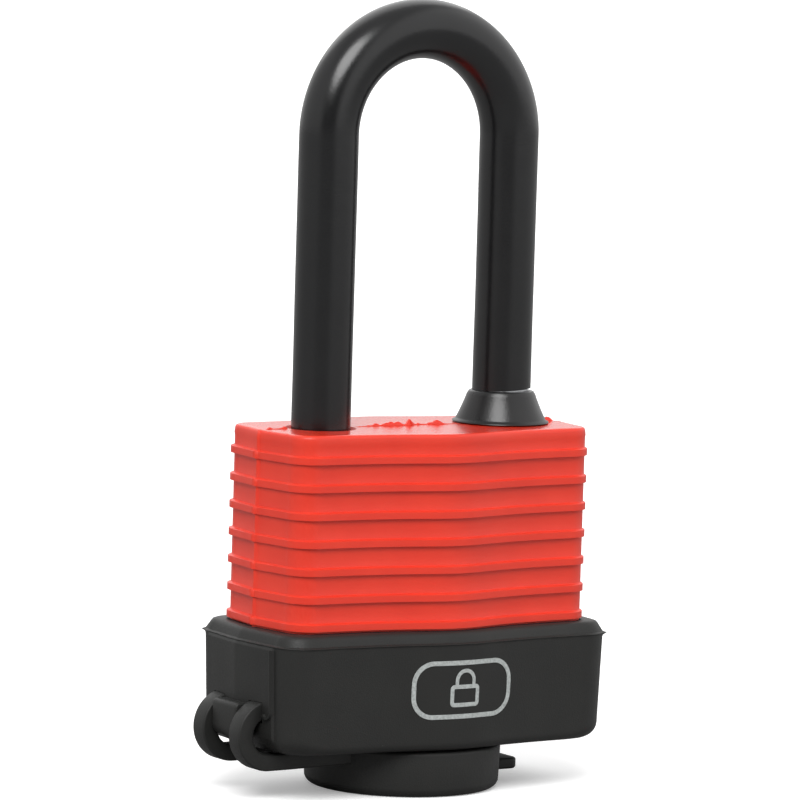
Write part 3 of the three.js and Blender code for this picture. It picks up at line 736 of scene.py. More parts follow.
# The ragged line of flash along the jacket's top, between the ends and round the leg holes.
def makeFlash():
    draw = random.Random(jacket["seed"])
    half = jacket["flashThickness"] / 2
    pieces = []
    keepOff = sleeveRadius + 1.15
    ends = jacketPlan["halfWidth"] - 1.4
    spans = [(-ends, -legX - keepOff), (-legX + keepOff, legX - keepOff - 1.6), (legX + keepOff + 1.6, ends)]
    for index, (start, stop) in enumerate(spans):
        count = max(6, int((stop - start) / 0.28))
        rings = []
        level = 0.4
        for step in range(count + 1):
            x = start + (stop - start) * step / count
            level = min(1.0, max(0.12, level + draw.uniform(-0.22, 0.22)))
            fade = min(1.0, 6 * step / count, 6 * (count - step) / count) + 0.02
            nub = 0.75 * math.exp(-(((x + 0.4) / 0.42) ** 2)) if index == 1 else 0.0
            nub += 0.5 * math.exp(-(((x - ends + 0.9) / 0.5) ** 2)) if index == 2 else 0.0
            high = jacketTop + jacket["flashHeight"] * level * fade + nub
            side = 0.12 * math.sin(0.9 * x) + draw.uniform(-0.05, 0.05)
            wide = half * (1 + 0.5 * level) + 0.25 * nub
            rings.append([(x, side - wide, jacketTop - 0.1), (x, side + wide, jacketTop - 0.1),
                          (x, side + wide * 0.55, high), (x, side - wide * 0.55, high)])
        pieces.append(addObject(recalculated(skin("flash", rings))))
    return joinedTo(*pieces)


dress(makeJacket(), redPlastic, "red_plastic", "lock_body", "weather_jacket")
print("jacket made")


cover = {
    "taper": 0.5,
    "floor": 2.7,
    "lipBelowTop": 1.65,
    "lipFlash": 0.2,
    "aboveLip": [(0.10, 0.12), (0.2, 0.24), (0.9, 0.50), (1.2, 0.68)],  # (up, in) from the lip
    "openingRadius": 8.3,
    "ringHeights": [9.4, 10.5, 12.3, 14.5, 17.0, 19.0],
    "panelHalfWidth": 8.6,
    "panelProud": 0.3,
    "panelTop": 20.4,
    "panelFoot": 2.0,  # above the cover's bottom
    "footAtFront": 1.0,  # radius of the bottom edge
    "footAtEnds": 2.1,
    "ear": 0.45,  # the lip's pointed corners
    "earAt": (24.9, 10.8),
    "endFlat": 8.4,  # from the middle of an end to where its corner starts
    "innerInset": 0.45,
    "beadY": 8.35,
    "beadHalf": 0.19,
    "beadTurn": 12.1,
    "beadCurl": 0.85,
}
strap = {
    "outerRadius": 4.75,
    "thickness": 2.25,
    "width": 2.9,
    "spacing": 9.5,
    "edge": 0.28,
    "setIn": 1.9,
    "rootDepth": 1.35,
    "reach": 10.5,  # from the middle of the padlock to its arm's end
    "armTop": 6.2 - 0.05,  # just under the cap's shoulder
}
coverEndX = coverPlan["halfWidth"]
strapX = -(coverEndX - strap["setIn"])
strapZ = strap["armTop"] + strap["outerRadius"] - strap["thickness"]
strapMiddles = (-strap["spacing"] / 2, strap["spacing"] / 2)
coverLip = coverTop - cover["lipBelowTop"]


# The rounded bottom edge: how far it draws in at a height, more at the ends than at the front.
def footInset(x, z):
    share = smoothStep(0.70, 0.93, np.abs(x) / coverEndX)
    radius = cover["footAtFront"] + (cover["footAtEnds"] - cover["footAtFront"]) * share
    above = np.clip((z - coverBottom) / radius, 0, 1)
    return radius * (1 - np.sqrt(1 - (1 - above) ** 2))


def coverOffset(x, y, z):
    atEnd = smoothStep(cover["panelHalfWidth"] + 0.06, cover["panelHalfWidth"] - 0.06, np.abs(y))
    atEnd = atEnd * (np.abs(x) > coverEndX - 4)
    foot = coverBottom + cover["panelFoot"]
    rise = smoothStep(foot - 0.5, foot, z) * (1 - smoothStep(cover["panelTop"], coverLip, z))
    ragged = 0.7 + 0.3 * np.sin(0.8 * x + 1.7 * y) * np.sin(0.37 * x - 0.9 * y)
    lip = cover["lipFlash"] * ragged * math.exp(-(((z - coverLip) / 0.10) ** 2))
    earX, earY = cover["earAt"]
    corner = np.exp(-(((np.abs(x) - earX) / 0.5) ** 2)) * np.exp(-(((np.abs(y) - earY) / 0.7) ** 2))
    sameSide = (x * y) < 0
    ear = cover["ear"] * corner * sameSide * math.exp(-(((z - coverLip) / 0.28) ** 2))
    return cover["panelProud"] * atEnd * rise + lip + ear - footInset(x, z)


def makeCover():
    taper = cover["taper"]
    foot = [coverBottom + cover["footAtEnds"] * (1 - math.cos(angle)) for angle in quarterTurn(9)]
    heights = foot + cover["ringHeights"] + [cover["panelTop"] - 0.05]
    heights += list(np.linspace(cover["panelTop"] + 0.05, coverLip - 0.15, 4))
    levels = [(z, taper * (coverLip - z) / (coverLip - coverBottom)) for z in heights]
    levels += [(coverLip + rise, 0) for rise in (-0.1, -0.05, 0.0, 0.05)]
    levels += [(coverLip + rise, inset) for rise, inset in cover["aboveLip"]]
    levels += [(coverTop - 0.15, 0.95), (coverTop, 1.4)]
    outside = outlineRings(coverPlan, levels, coverOffset)
    floor = coverBottom + cover["floor"]
    inset = cover["innerInset"]
    inside = outlineRings(jacketPlan, [(coverTop, inset), (floor, inset)])
    piece = addObject(skin("bottomCover", np.concatenate([outside, inside])))
    radius = cover["openingRadius"]
    opening = [(0, coverBottom - 1), (radius + 0.5, coverBottom - 1), (radius + 0.5, coverBottom),
               (radius, coverBottom + 0.4), (radius, floor + 1), (0, floor + 1)]
    tools = [addObject(turned("cutter", opening, 96))]
    tools += [makeSlotCutter(y) for y in strapMiddles]
    merged(piece, makeKnuckle(), makeBead())
    cutAway(piece, *tools)
    return shade(piece, 32)


# The cover's end face at a place across it, out by the lift.
def coverEnd(y, z, lift):
    drawnIn = cover["taper"] * (coverLip - z) / (coverLip - coverBottom)
    bevel = endBevel * np.minimum(np.abs(y) / cover["endFlat"], 1)
    return -(coverEndX - bevel - drawnIn + cover["panelProud"] + lift)


# The thin bead down the end panel's front edge, curling back to the front strap's shoulder.
def makeBead():
    y, turnZ, radius = -cover["beadY"], cover["beadTurn"], cover["beadCurl"]
    line = [(y, z) for z in np.linspace(cover["panelTop"] + 0.1, turnZ, 12)]
    curl = np.linspace(0.2, 2.6, 11)
    line += [(y + radius * (1 - math.cos(a)), turnZ - radius * math.sin(a)) for a in curl]
    across = leftOf(np.gradient(np.array(line), axis=0)) * cover["beadHalf"]
    corners = [(-1.3, -0.4), (-0.7, 0.36), (0.7, 0.36), (1.3, -0.4)]  # the bead's section: across and out
    rings = []
    for (y, z), (dy, dz) in zip(line, across):
        rings.append([(coverEnd(y, z, lift), y + dy * side, z + dz * side) for side, lift in corners])
    return addObject(recalculated(skin("bead", rings)))


# An outline's copies from near to far as (copy, level) pairs, drawn in where the edges round over.
def edgeCopies(outline, near, far, edge, steps):
    inward = leftOf(around(outline))
    x, z = outline[:, 0], outline[:, 1]
    if np.sum(x * np.roll(z, -1) - np.roll(x, -1) * z) < 0:
        inward = -inward
    curve = [(near + edge * (1 - math.sin(a)), edge * (1 - math.cos(a))) for a in quarterTurn(steps)]
    levels = curve[::-1] + [(far - (level - near), shrink) for level, shrink in curve]
    return [(outline + inward * shrink, level) for level, shrink in levels]


# A body with an outline in X and Z, carried across Y with rounded edges.
def carried(name, outline, near, far, edge, steps=5):
    rings = [np.column_stack([flat[:, 0], np.full(len(flat), y), flat[:, 1]])
             for flat, y in edgeCopies(outline, near, far, edge, steps)]
    return recalculated(skin(name, rings, fanned=False))


def cutterAcross(outline, near, far):
    return addObject(carried("cutter", outline, near, far, 0.01, 1))


def makeSlotCutter(y):
    half = strap["width"] / 2 + 0.1
    low, high = strapZ + 1.75, strapZ + strap["outerRadius"] + 0.07
    deep, out = -coverEndX + strap["rootDepth"] + 0.1, -coverEndX - 3
    outline = roundedOutline([(out, low, 0), (deep, low, 0.3), (deep, high, 0), (out, high - 1.0, 0)])
    return cutterAcross(outline, y - half, y + half)


# The lug between the two straps.
def makeKnuckle():
    half = (strap["spacing"] - strap["width"]) / 2 - 0.2
    high = strapZ + strap["outerRadius"] - 0.6
    outline = roundedOutline([
        (-coverEndX + 1.5, coverBottom + 1.2, 0), (-coverEndX + 1.5, high, 0), (-coverEndX - 1.7, high, 0.7),
        (-coverEndX - 1.7, strapZ - 0.6, 1.6), (-coverEndX + 0.3, coverBottom + 1.2, 1.0),
    ])
    return addObject(carried("knuckle", outline, -half, half, 0.3))


dress(makeCover(), blackPlastic, "black_plastic", "lock_body", "bottom_cover")
print("cover made")


def strapOutline():
    outer, inner = strap["outerRadius"], strap["outerRadius"] - strap["thickness"]
    root = -coverEndX + strap["rootDepth"]
    end = -strap["reach"]
    rootAngles = [math.pi / 2 + math.asin((strapX - root) / radius) for radius in (outer, inner)]
    loop = [(strapX + outer * math.cos(a), strapZ + outer * math.sin(a))
            for a in np.linspace(rootAngles[0], math.radians(270), 41)]
    back = [(strapX + inner * math.cos(a), strapZ + inner * math.sin(a))
            for a in np.linspace(math.radians(270), rootAngles[1], 41)]
    arm = np.linspace(strapX, end, 15)[1:]
    low = [(x, strapZ - outer + 0.22 * smoothStep(strapX, end, x)) for x in arm]
    high = [(x, strapZ - inner) for x in arm[::-1]]
    return np.array([*loop, *low, *high, *back])


def makeStrap(name, y):
    half = strap["width"] / 2
    mesh = carried(name, strapOutline(), y - half, y + half, strap["edge"], 4)
    return shade(addObject(mesh), 50)


for name, y, node in (("capStrapFront", strapMiddles[0], "cap_strap_front"),
                      ("capStrapRear", strapMiddles[1], "cap_strap_rear")):
    piece = dress(makeStrap(name, y), blackPlastic, "black_plastic", None, node)
    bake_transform(piece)
print("straps made")


cap = {
    "radius": (capHigh[1] - capLow[1]) / 2,
    "height": 6.2,
    "footRadius": 1.25,
    "topRadius": 0.5,
    "bossRadius": 7.9,
    "bossHeight": 1.7,
    "tabReach": capHigh[0],
    "tabHalfWidth": 3.2,
    "tabBottom": 1.45,
    "tabThickness": 1.5,
    "tabCorner": 1.4,
    "tabEdge": 0.35,
    "draft": 0.15,
}


def makeCap():
    radius, height, foot, edge = cap["radius"], cap["height"], cap["footRadius"], cap["topRadius"]
    profile = [(0, 0), (radius - foot - 3.0, 0.0), (radius - foot - 0.4, 0.0)]
    for angle in quarterTurn(8):
        profile.append((radius - cap["draft"] - foot * (1 - math.sin(angle)), foot * (1 - math.cos(angle))))
    for angle in quarterTurn(5):
        profile.append((radius - edge * (1 - math.cos(angle)), height - edge * (1 - math.sin(angle))))
    boss, top = cap["bossRadius"], height + cap["bossHeight"]
    profile += [(boss + 0.3, height), (boss, height + 0.3), (boss, top - 0.6), (boss - 0.15, top - 0.2),
                (boss - 0.6, top), (boss - 1.6, top), (boss - 2.0, top - 0.5), (0, top - 0.5)]
    piece = addObject(turned("keywayCap", profile, 180))
    joinedTo(piece, makeTab())
    return shade(piece, 40)


def makeTab():
    half, reach = cap["tabHalfWidth"], cap["tabReach"]
    start = cap["radius"] - 1.5
    outline = roundedOutline(boxCorners(start, reach, -half, half, 0, cap["tabCorner"]), 10)
    bottom, top = cap["tabBottom"], cap["tabBottom"] + cap["tabThickness"]
    rings = [np.column_stack([flat, np.full(len(flat), z)])
             for flat, z in edgeCopies(outline, bottom, top, cap["tabEdge"], 5)]
    return addObject(recalculated(skin("tab", rings)))


dress(makeCap(), blackPlastic, "black_plastic", "cap_group", "keyway_cap")
print("cap made")


sleeve = {
    "heelEnd": sleeveLow[2],
    "toeEnd": sealHigh[2] + 0.02,
    "toeSlope": 0.06,  # the toe end is cut a little aslant
    "bore": rodRadius + 0.05,
    "sides": 96,
    "archSteps": 120,
    "sway": 0.12,  # how much the sleeve swells and thins along its length
    "swayLength": 14,
    "seed": 3.0,
}
rod = {
    "heelEnd": rodLow[2],
    "heelTip": 0.4,
    "toeEnd": 36.5,
    "toeTip": 0.9,
    "sides": 72,
    "archSteps": 96,
    "notchDepth": 1.9,
    "notchLow": 39.3,
    "notchHigh": 44.25,
    "notchCorner": 0.35,
    "flat": 2.2,  # from the heel leg's axis to the flat behind it
    "flatLow": 23.6,
    "flatHigh": 39.5,
    "lift": 13.0,
}


# A round section swept along a curve and closed at both ends.
def swept(b, curve, sides, radius):
    section = b.add("GeometryNodeCurvePrimitiveCircle", {"Resolution": sides, "Radius": radius}).outputs[0]
    inputs = {"Curve": curve, "Profile Curve": section, "Fill Caps": True}
    return b.add("GeometryNodeCurveToMesh", inputs).outputs[0]


# Sweeps a round bar along a line of edges, swelling slowly by Sway along its length.
def barTree():
    ins = {
        "Geometry": None,
        "Radius": 0.004,
        "Sides": 64,
        "Sway": 0.0,
        "Sway Length": 0.02,
        "Seed": 0.0,
        "Material": None,
    }
    tree, b, i, o = newTree("barAlongLine", "GeometryNodeTree", ins, ["Geometry"])
    line = b.add("GeometryNodeMeshToCurve", {"Mesh": i["Geometry"]}).outputs[0]
    bar = swept(b, line, i["Sides"], i["Radius"])
    place = b.add("GeometryNodeInputPosition").outputs[0]
    waves = b.over(1.0, i["Sway Length"])
    noise = b.add("ShaderNodeTexNoise", {"Vector": place, "Scale": waves, "Detail": 1.0, "W": i["Seed"]},
                  noise_dimensions="4D").outputs[0]
    swell = b.times(b.minus(noise, 0.5), i["Sway"])
    normal = b.add("GeometryNodeInputNormal").outputs[0]
    offset = b.add("ShaderNodeVectorMath", {0: normal, 3: swell}, operation="SCALE").outputs[0]
    moved = b.add("GeometryNodeSetPosition", {"Geometry": bar, "Offset": offset}).outputs[0]
    return endTree(tree, b, i, o, moved)


barAlongLine = barTree()


# The shackle's line as a chain of edges, from a height on the heel leg to a height on the toe leg.
def shackleLine(heelZ, toeZ, archSteps, legStep=1.2):
    heel = [(-legX, 0, z) for z in np.arange(heelZ, archZ - legStep / 2, legStep)]
    angles = np.linspace(math.pi, 0, archSteps + 1)
    arch = [(legX * math.cos(a), 0, archZ + legX * math.sin(a)) for a in angles]
    toe = [(legX, 0, z) for z in np.arange(toeZ, archZ - legStep / 2, legStep)[::-1]]
    return [*heel, *arch, *toe]


def makeBar(name, line, radius, sides, material, sway=0.0, seed=0.0):
    mesh = bpy.data.meshes.new(name)
    edges = [(a, a + 1) for a in range(len(line) - 1)]
    mesh.from_pydata((np.array(line) * mm).tolist(), edges, [])
    piece = addObject(mesh)
    runTree(piece, barAlongLine, {
        "Radius": radius * mm, "Sides": sides, "Sway": sway * mm, "Sway Length": sleeve["swayLength"] * mm,
        "Seed": seed, "Material": material,
    })
    recalculated(piece.data, 0.0001)
    return piece


def makeSleeve():
    outside = shackleLine(sleeve["heelEnd"], sleeve["toeEnd"], sleeve["archSteps"])
    inside = shackleLine(sleeve["heelEnd"] - 2, sleeve["toeEnd"] - 2, sleeve["archSteps"])
    piece = makeBar("shackleSleeve", outside, sleeveRadius, sleeve["sides"], blackVinyl, sleeve["sway"],
                    sleeve["seed"])
    bore = makeBar("bore", inside, sleeve["bore"], sleeve["sides"], blackVinyl)
    cutAway(piece, bore)
    points = np.zeros(len(piece.data.vertices) * 3)
    piece.data.vertices.foreach_get("co", points)
    points = points.reshape(-1, 3)
    end, slack = sleeve["toeEnd"] * mm, 2 * mm
    weight = smoothStep(end + slack, end, points[:, 2]) * (points[:, 0] > 0)
    points[:, 2] += weight * sleeve["toeSlope"] * (points[:, 0] - (legX - sleeveRadius) * mm)
    piece.data.vertices.foreach_set("co", points.ravel())
    return shade(piece, 50)


def makeRod():
    line = shackleLine(rod["heelEnd"] + rod["heelTip"], rod["toeEnd"] + rod["toeTip"], rod["archSteps"])
    piece = makeBar("shackleRod", line, rodRadius, rod["sides"], brightSteel)
    tips = [makeTip(-legX, rod["heelEnd"], rod["heelTip"]), makeTip(legX, rod["toeEnd"], rod["toeTip"])]
    merged(piece, *tips)
    tools = []
    for side, drop in ((1, 0.0), (-1, 0.0), (-1, rod["lift"])):
        face = side * (legX - rodRadius + rod["notchDepth"])
        clear = side * (legX - rodRadius - 1)
        low, high = rod["notchLow"] - drop, rod["notchHigh"] - drop
        left, right, rounding = min(face, clear), max(face, clear), rod["notchCorner"]
        atFace = (0, rounding) if side > 0 else (rounding, 0)
        outline = roundedOutline(boxCorners(left, right, low, high, *atFace))
        tools.append(cutterAcross(outline, -rodRadius - 1, rodRadius + 1))
    behind = boxCorners(-legX - 5, -legX + 5, rod["flatLow"], rod["flatHigh"])
    tools.append(cutterAcross(roundedOutline(behind), rod["flat"], rodRadius + 1))
    cutAway(piece, *tools)
    return shade(piece, 30)


# The rounded end of a leg, long enough to run up into it.
def makeTip(x, low, length):
    profile = [(0, low)]
    for angle in quarterTurn(5):
        profile.append((rodRadius - length * (1 - math.sin(angle)), low + length * (1 - math.cos(angle))))
    profile += [(rodRadius, low + length + 0.4), (0, low + length + 0.4)]
    return addObject(turned("tip", profile, rod["sides"], x=x))


seal = {
    "footRadius": (sealHigh[0] - sealLow[0]) / 2 + 0.1,
    "footZ": jacketTop + 0.05,
    "bore": rodRadius + 0.05,
    "topRadius": 4.5,
    "spigotRadius": 4.06,
}


def makeSeal():
    foot, top, low, high = seal["footRadius"], seal["topRadius"], seal["footZ"], sealHigh[2]
    profile = [(seal["bore"], sealLow[2]), (seal["spigotRadius"], sealLow[2]), (seal["spigotRadius"], low),
               (foot - 0.55, low), (foot - 0.12, low + 0.03), (foot, low + 0.14), (foot - 0.04, low + 0.26)]
    height = high - low
    for share in np.linspace(0.1, 0.9, 17):
        flare = (foot - 0.28 - top) * (1 - share) ** 1.18
        profile.append((top + 0.06 + flare, low + height * share))
    profile += [(top + 0.02, high - 0.22), (top - 0.05, high - 0.07), (top - 0.22, high),
                (seal["bore"] + 0.12, high), (seal["bore"], high - 0.1)]
    return shade(addObject(turned("toeSeal", profile, 128, x=legX)), 50)


dress(makeRod(), brightSteel, "bright_steel", "shackle_group", "shackle")
dress(makeSleeve(), blackVinyl, "black_vinyl", "shackle_group", "shackle_sleeve")
dress(makeSeal(), blackRubber, "black_rubber", "shackle_group", "toe_seal")
print("shackle made")


boltSpring = {
    "near": 6.05,
    "far": 10.15,
    "y": 3.65,
    "z": 41.775,
    "radius": 0.8,
    "wire": 0.2,
    "turns": 5.0,
    "squashed": 0.505,  # share of its length left when its bolt is right out
}
pinSpring = {
    "first": 15.1,
    "pitch": 4.0,
    "count": 4,
    "near": 6.65,
    "far": 9.25,
    "radius": 0.95,
    "wire": 0.15,
    "turns": 6.0,
}


# A wire coil up Z over Length with closed ends, laid along its axis by Turn, then copied Count times by Step
# from Start.
def springTree():
    ins = {
        "Geometry": None,
        "Mean Radius": 0.001,
        "Wire Radius": 0.0002,
        "Length": 0.004,
        "Turns": 5.0,
        "Count": 1,
        "Step": (0.0, 0.0, 0.004),
        "Turn": (0.0, 0.0, 0.0),
        "Start": (0.0, 0.0, 0.0),
        "Material": None,
    }
    tree, b, i, o = newTree("coilSpring", "GeometryNodeTree", ins, ["Geometry"])
    steps = b.times(i["Turns"], 20.0)
    ends = {"Start": (0.0, 0.0, 0.0), "End": (0.0, 0.0, 1.0)}
    line = b.add("GeometryNodeCurvePrimitiveLine", ends).outputs[0]
    divided = b.add("GeometryNodeResampleCurve", {"Curve": line, "Count": steps}).outputs[0]
    along = b.add("GeometryNodeSplineParameter").outputs["Factor"]
    angle = b.times(b.times(along, i["Turns"]), 2 * math.pi)
    endShare = b.over(1.0, i["Turns"])
    flatShare = b.times(endShare, 0.6)
    climb = b.ramp(along, flatShare, b.minus(1.0, flatShare))
    wires = b.times(i["Wire Radius"], 2.0)
    rise = b.times(b.minus(i["Length"], b.times(wires, 2.0)), climb)
    closedFoot = b.times(b.ramp(along, 0.0, endShare), b.times(wires, 0.5))
    closedTop = b.times(b.ramp(along, b.minus(1.0, endShare), 1.0), b.times(wires, 0.5))
    height = b.plus(b.plus(rise, i["Wire Radius"]), b.plus(closedFoot, closedTop))
    x = b.times(i["Mean Radius"], b.math("COSINE", angle))
    y = b.times(i["Mean Radius"], b.math("SINE", angle))
    helix = b.add("ShaderNodeCombineXYZ", {0: x, 1: y, 2: height}).outputs[0]
    bent = b.add("GeometryNodeSetPosition", {"Geometry": divided, "Position": helix}).outputs[0]
    coil = swept(b, bent, 10, i["Wire Radius"])
    laid = b.add("GeometryNodeTransform", {"Geometry": coil, "Rotation": i["Turn"]}).outputs[0]
    row = {"Count": i["Count"], "Start Location": i["Start"], "Offset": i["Step"]}
    places = b.add("GeometryNodeMeshLine", row).outputs[0]
    copies = b.add("GeometryNodeInstanceOnPoints", {"Points": places, "Instance": laid}).outputs[0]
    return endTree(tree, b, i, o, copies)


coilSpring = springTree()


def grown(name, tree, values, start=None):
    piece = addObject(start or bpy.data.meshes.new(name))
    runTree(piece, tree, values)
    recalculated(piece.data)
    return piece


# Coils of one spring's sizes; places holds where they start, how they lie and how often they repeat.
def makeSprings(name, spring, places):
    values = {
        "Mean Radius": spring["radius"] * mm,
        "Wire Radius": spring["wire"] * mm,
        "Length": (spring["far"] - spring["near"]) * mm,
        "Turns": spring["turns"],
        "Material": springSteel,
    }
    return shade(grown(name, coilSpring, values | places), 40)


def makeBoltSpring(name, side):
    start = (side * boltSpring["near"] * mm, boltSpring["y"] * mm, boltSpring["z"] * mm)
    return makeSprings(name, boltSpring, {"Start": start, "Turn": (0.0, side * math.pi / 2, 0.0)})


def makePinSprings():
    return makeSprings("pinSprings", pinSpring, {
        "Count": pinSpring["count"],
        "Step": (0.0, 0.0, pinSpring["pitch"] * mm),
        "Start": (0.0, pinSpring["near"] * mm, pinSpring["first"] * mm),
        "Turn": (-math.pi / 2, 0.0, 0.0),
    })


for name, side, node, joint in (("boltSpringToe", 1, "bolt_spring_toe", "toe_bolt_slide"),
                                ("boltSpringHeel", -1, "bolt_spring_heel", "heel_bolt_slide")):
    piece = dress(makeBoltSpring(name, side), springSteel, "spring_steel", "lock_body", node)
    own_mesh(piece)
springNodes = [f"pin_spring_{number}" for number in range(1, pinSpring["count"] + 1)]
dress(makePinSprings(), springSteel, "spring_steel", "lock_body", *springNodes)
print("springs made")


rivet = {
    "spacing": (38.2, 10.2),
    "low": 9.35,
    "high": 46.7,
    "shaft": 1.2,
    "head": 1.8,
    "headHeight": 2.4,
    "dish": 0.35,  # how far the middle of the peened head is struck in
}


# Copies what it is given to the four corners of a rectangle.
def cornerTree():
    ins = {
        "Geometry": None,
        "Spacing X": 0.03,
        "Spacing Y": 0.01,
        "Material": None,
    }
    tree, b, i, o = newTree("fourCorners", "GeometryNodeTree", ins, ["Geometry"])
    grid = b.add("GeometryNodeMeshGrid", {
        "Size X": i["Spacing X"], "Size Y": i["Spacing Y"], "Vertices X": 2, "Vertices Y": 2,
    }).outputs[0]
    copies = b.add("GeometryNodeInstanceOnPoints", {"Points": grid, "Instance": i["Geometry"]}).outputs[0]
    return endTree(tree, b, i, o, copies)


def makeRivets():
    low, high, head, shaft = rivet["low"], rivet["high"], rivet["head"], rivet["shaft"]
    tall, dish = rivet["headHeight"], rivet["dish"]
    half = [(0, dish), (head * 0.45, dish), (head * 0.72, 0), (head - 0.2, 0), (head, 0.2), (head, tall),
            (shaft, tall)]
    profile = [(r, low + z) for r, z in half] + [(r, high - z) for r, z in reversed(half)]
    one = turned("rivets", profile, 40)
    return shade(grown("rivets", cornerTree(), {
        "Spacing X": rivet["spacing"][0] * mm,
        "Spacing Y": rivet["spacing"][1] * mm,
        "Material": plateSteel,
    }, one), 35)


dress(makeRivets(), plateSteel, "plate_steel", "lock_body", "rivet_1", "rivet_2", "rivet_3", "rivet_4")
print("rivets made")


finishes = {
    "body_plate": (plateSteel, "plate_steel"),
    "shackle_retainer": (springSteel, "spring_steel"),
    "cylinder_shell": (brass, "brass"),
    "plug_clip": (springSteel, "spring_steel"),
    "plug": (brass, "brass"),
    "cam": (springSteel, "spring_steel"),
    "bolt": (brightSteel, "bright_steel"),
    "key_pin": (brass, "brass"),
    "driver_pin": (brass, "brass"),
}

for name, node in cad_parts.items():
    if node.hide_render:
        continue
    finish = next(value for key, value in finishes.items() if name.startswith(key))
    for place in node.material_slots:
        place.material = finish[0]
print("lock work finished")


emblem = {
    "middle": (0.7, 14.8),
    "size": (15.8, 7.9),
    "corner": 3.1,
    "stroke": 0.62,
    "proud": 0.05,
    "sunk": 0.06,
    "lockSize": (4.6, 3.0),
    "lockDrop": 0.85,
    "lockCorner": 0.6,
    "lockStroke": 0.55,
    "bowRadius": 1.35,
    "bowLegs": (0.65, 0.95, 1.2),  # heights above the emblem's middle, from a leg's foot to the bow
    "bowStroke": 0.5,
    "ink": (0.47, 0.50, 0.49, 1),
}


def inkMaterial():
    material, b, shader, place = newMaterial("emblemInk", {"Roughness": 0.55, "IOR": 1.45})
    speckle = b.noise(place, 2600.0, 3.0, 0.7)
    worn = tuple(part * 0.62 for part in emblem["ink"][:3]) + (1,)
    tone = b.mixColour(b.ramp(speckle, 0.30, 0.62), worn, emblem["ink"])
    b.tree.links.new(tone, shader.inputs["Base Color"])
    setBump(b, shader, speckle, 0.3, 0.02)
    return material


def coverFront(x, z):
    drawnIn = cover["taper"] * (coverLip - z) / (coverLip - coverBottom)
    return drawnIn - frontReach(coverPlan, x)


# A closed band between two loops of the same number of points, laid on the cover's front.
def inkBand(outer, inner):
    outer, inner = np.asarray(outer, float), np.asarray(inner, float)
    rings = []
    sunk, proud = -emblem["sunk"], emblem["proud"]
    for loop, lift in ((outer, sunk), (outer, proud), (inner, proud), (inner, sunk)):
        x, z = loop[:, 0], loop[:, 1]
        rings.append(np.column_stack([x, coverFront(x, z) - lift, z]))
    return addObject(recalculated(skin("ink", rings, looped=True)))


def framePoints(width, height, corner, middle):
    cx, cz = middle
    w, h = width / 2, height / 2
    points = roundedOutline(boxCorners(cx - w, cx + w, cz - h, cz + h, corner, corner), 16)
    # the long straight stretches take points too, so that the ink follows the curved front
    filled = []
    for a, b in zip(points, np.roll(points, -1, 0)):
        count = max(1, int(np.linalg.norm(b - a) / 0.3))
        filled += [a + (b - a) * step / count for step in range(count)]
    return np.array(filled)


def resampled(points, count):
    closed = np.vstack([points, points[:1]])
    lengths = np.concatenate([[0], np.cumsum(np.linalg.norm(np.diff(closed, axis=0), axis=1))])
    wanted = np.linspace(0, lengths[-1], count, endpoint=False)
    return np.column_stack([np.interp(wanted, lengths, closed[:, k]) for k in (0, 1)])


def inkFrame(width, height, corner, middle, stroke, count):
    outer = framePoints(width, height, corner, middle)
    inner = framePoints(width - 2 * stroke, height - 2 * stroke, max(corner - stroke, 0.05), middle)
    return inkBand(resampled(outer, count), resampled(inner, count))


# A strip of ink along an open line of points.
def inkStroke(points, stroke):
    points = np.asarray(points, float)
    across = leftOf(np.gradient(points, axis=0))
    left, right = points + across * stroke / 2, points - across * stroke / 2
    lifts = np.array([-emblem["sunk"], emblem["proud"], emblem["proud"], -emblem["sunk"]])
    rings = []
    for a, b in zip(left, right):
        xs, zs = np.array([a, a, b, b]).T
        rings.append(np.column_stack([xs, coverFront(xs, zs) - lifts, zs]))
    return addObject(recalculated(skin("ink", rings)))


# A rounded frame round a small padlock: its body, its bow and the bow's two legs.
def makeEmblem():
    (width, height), (cx, cz) = emblem["size"], emblem["middle"]
    bow, legs, thin = emblem["bowRadius"], emblem["bowLegs"], emblem["bowStroke"]
    pieces = [inkFrame(width, height, emblem["corner"], (cx, cz), emblem["stroke"], 220)]
    width, height = emblem["lockSize"]
    middle = (cx, cz - emblem["lockDrop"])
    pieces.append(inkFrame(width, height, emblem["lockCorner"], middle, emblem["lockStroke"], 90))
    arch = [(cx - bow, cz + legs[-1])]
    arch += [(cx + bow * math.cos(a), cz + legs[-1] + bow * math.sin(a)) for a in np.linspace(math.pi, 0, 25)]
    pieces.append(inkStroke(arch, thin))
    for side in (-1, 1):
        leg = [(cx + side * bow, cz + high) for high in legs]
        pieces.append(inkStroke(leg, thin))
    whole = joinedTo(*pieces)
    whole.name = "coverEmblem"
    return shade(whole, 40)


dress(makeEmblem(), inkMaterial(), "black_plastic", "lock_body")
print("emblem made")


studio = {
    "floorRadius": 12.0,  # metres
    "seenColour": 0.94,  # the floor as the camera sees it
    "seenGlow": 0.25,
    "bounceColour": 0.30,  # and as the padlock sees it
    "roomAhead": 0.9,  # brightness of the room by the way one looks from the padlock
    "roomRight": 1.15,
    "roomLeft": 0.8,
    "roomBehind": 0.08,
    "roomAbove": 0.55,
}
lights = {
    "key": {"toward": (-0.56, -0.64, 0.85), "angle": 36, "power": 2.5},
    "back": {"toward": (0.30, 0.80, 0.75), "angle": 60, "power": 0.6},
}


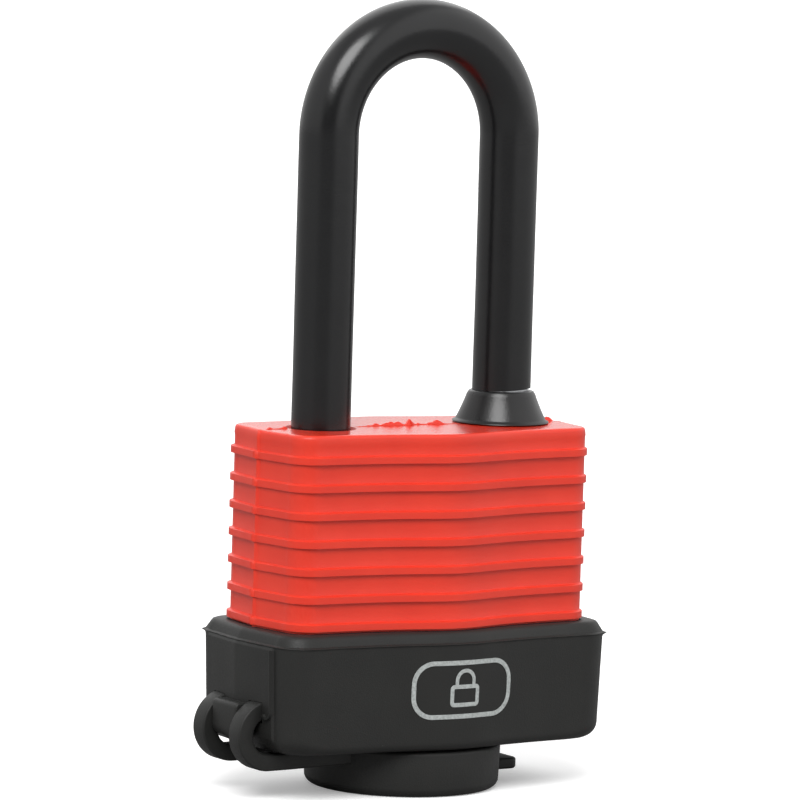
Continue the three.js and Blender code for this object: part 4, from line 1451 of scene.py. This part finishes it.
def makeFloor():
    mesh = bpy.data.meshes.new("floor")
    radius, sides = studio["floorRadius"], 64
    ring = [(radius * math.cos(a), radius * math.sin(a), 0)
            for a in np.linspace(0, 2 * math.pi, sides, endpoint=False)]
    mesh.from_pydata(ring, [], [tuple(range(sides))])
    floor = addObject(mesh)
    constants = {"Roughness": 0.8, "Specular IOR Level": 0.1, "Emission Color": (1, 1, 1, 1)}
    material, b, shader, place = newMaterial("paleFloor", constants)
    seen = b.add("ShaderNodeLightPath").outputs["Is Camera Ray"]
    cloudy = b.ramp(b.noise(place, 4.0, 2.0), 0.0, 1.0, 0.985, 1.0)
    level = b.times(cloudy, b.ramp(seen, 0.0, 1.0, studio["bounceColour"], studio["seenColour"]))
    b.tree.links.new(b.add("ShaderNodeCombineColor", {0: level, 1: level, 2: level}).outputs[0],
                     shader.inputs["Base Color"])
    b.tree.links.new(b.times(seen, studio["seenGlow"]), shader.inputs["Emission Strength"])
    mesh.materials.append(material)


def makeLights():
    for name, light in lights.items():
        data = bpy.data.lights.new(name, "SUN")
        data.angle = math.radians(light["angle"])
        data.energy = light["power"]
        lamp = bpy.data.objects.new(name, data)
        lamp.matrix_world = Vector(light["toward"]).to_track_quat("Z", "Y").to_matrix().to_4x4()
        bpy.context.scene.collection.objects.link(lamp)


# A plain room, bright at the sides, above and behind the padlock and dim where the camera stands.
def makeWorld():
    world = bpy.data.worlds.new("paleRoom")
    world.use_nodes = True
    tree = world.node_tree
    b = NodeBuilder(tree)
    background = tree.nodes["Background"]
    yaw = math.radians(camera["yaw"])
    toward = b.add("ShaderNodeTexCoord").outputs["Generated"]

    def along(direction):
        inputs = {0: toward, 1: direction}
        return b.add("ShaderNodeVectorMath", inputs, operation="DOT_PRODUCT").outputs["Value"]

    ahead = along((math.sin(yaw), math.cos(yaw), 0))
    rightward = along((math.cos(yaw), -math.sin(yaw), 0))
    upward = along((0, 0, 1))
    walls = [
        b.ramp(ahead, 0.1, 0.7, studio["roomBehind"], studio["roomAhead"], smooth=True),
        b.ramp(rightward, 0.25, 0.6, studio["roomBehind"], studio["roomRight"], smooth=True),
        b.ramp(rightward, -0.3, -0.7, studio["roomBehind"], studio["roomLeft"], smooth=True),
        b.ramp(upward, 0.3, 0.9, studio["roomBehind"], studio["roomAbove"], smooth=True),
    ]
    level = walls[0]
    for wall in walls[1:]:
        level = b.math("MAXIMUM", level, wall)
    seen = b.add("ShaderNodeLightPath").outputs["Is Camera Ray"]
    tree.links.new(b.math("MAXIMUM", level, seen), background.inputs["Strength"])
    background.inputs["Color"].default_value = (1, 1, 1, 1)
    bpy.context.scene.world = world


makeFloor()
makeLights()
makeWorld()
bpy.context.scene.view_settings.view_transform = "Standard"
print("studio made")
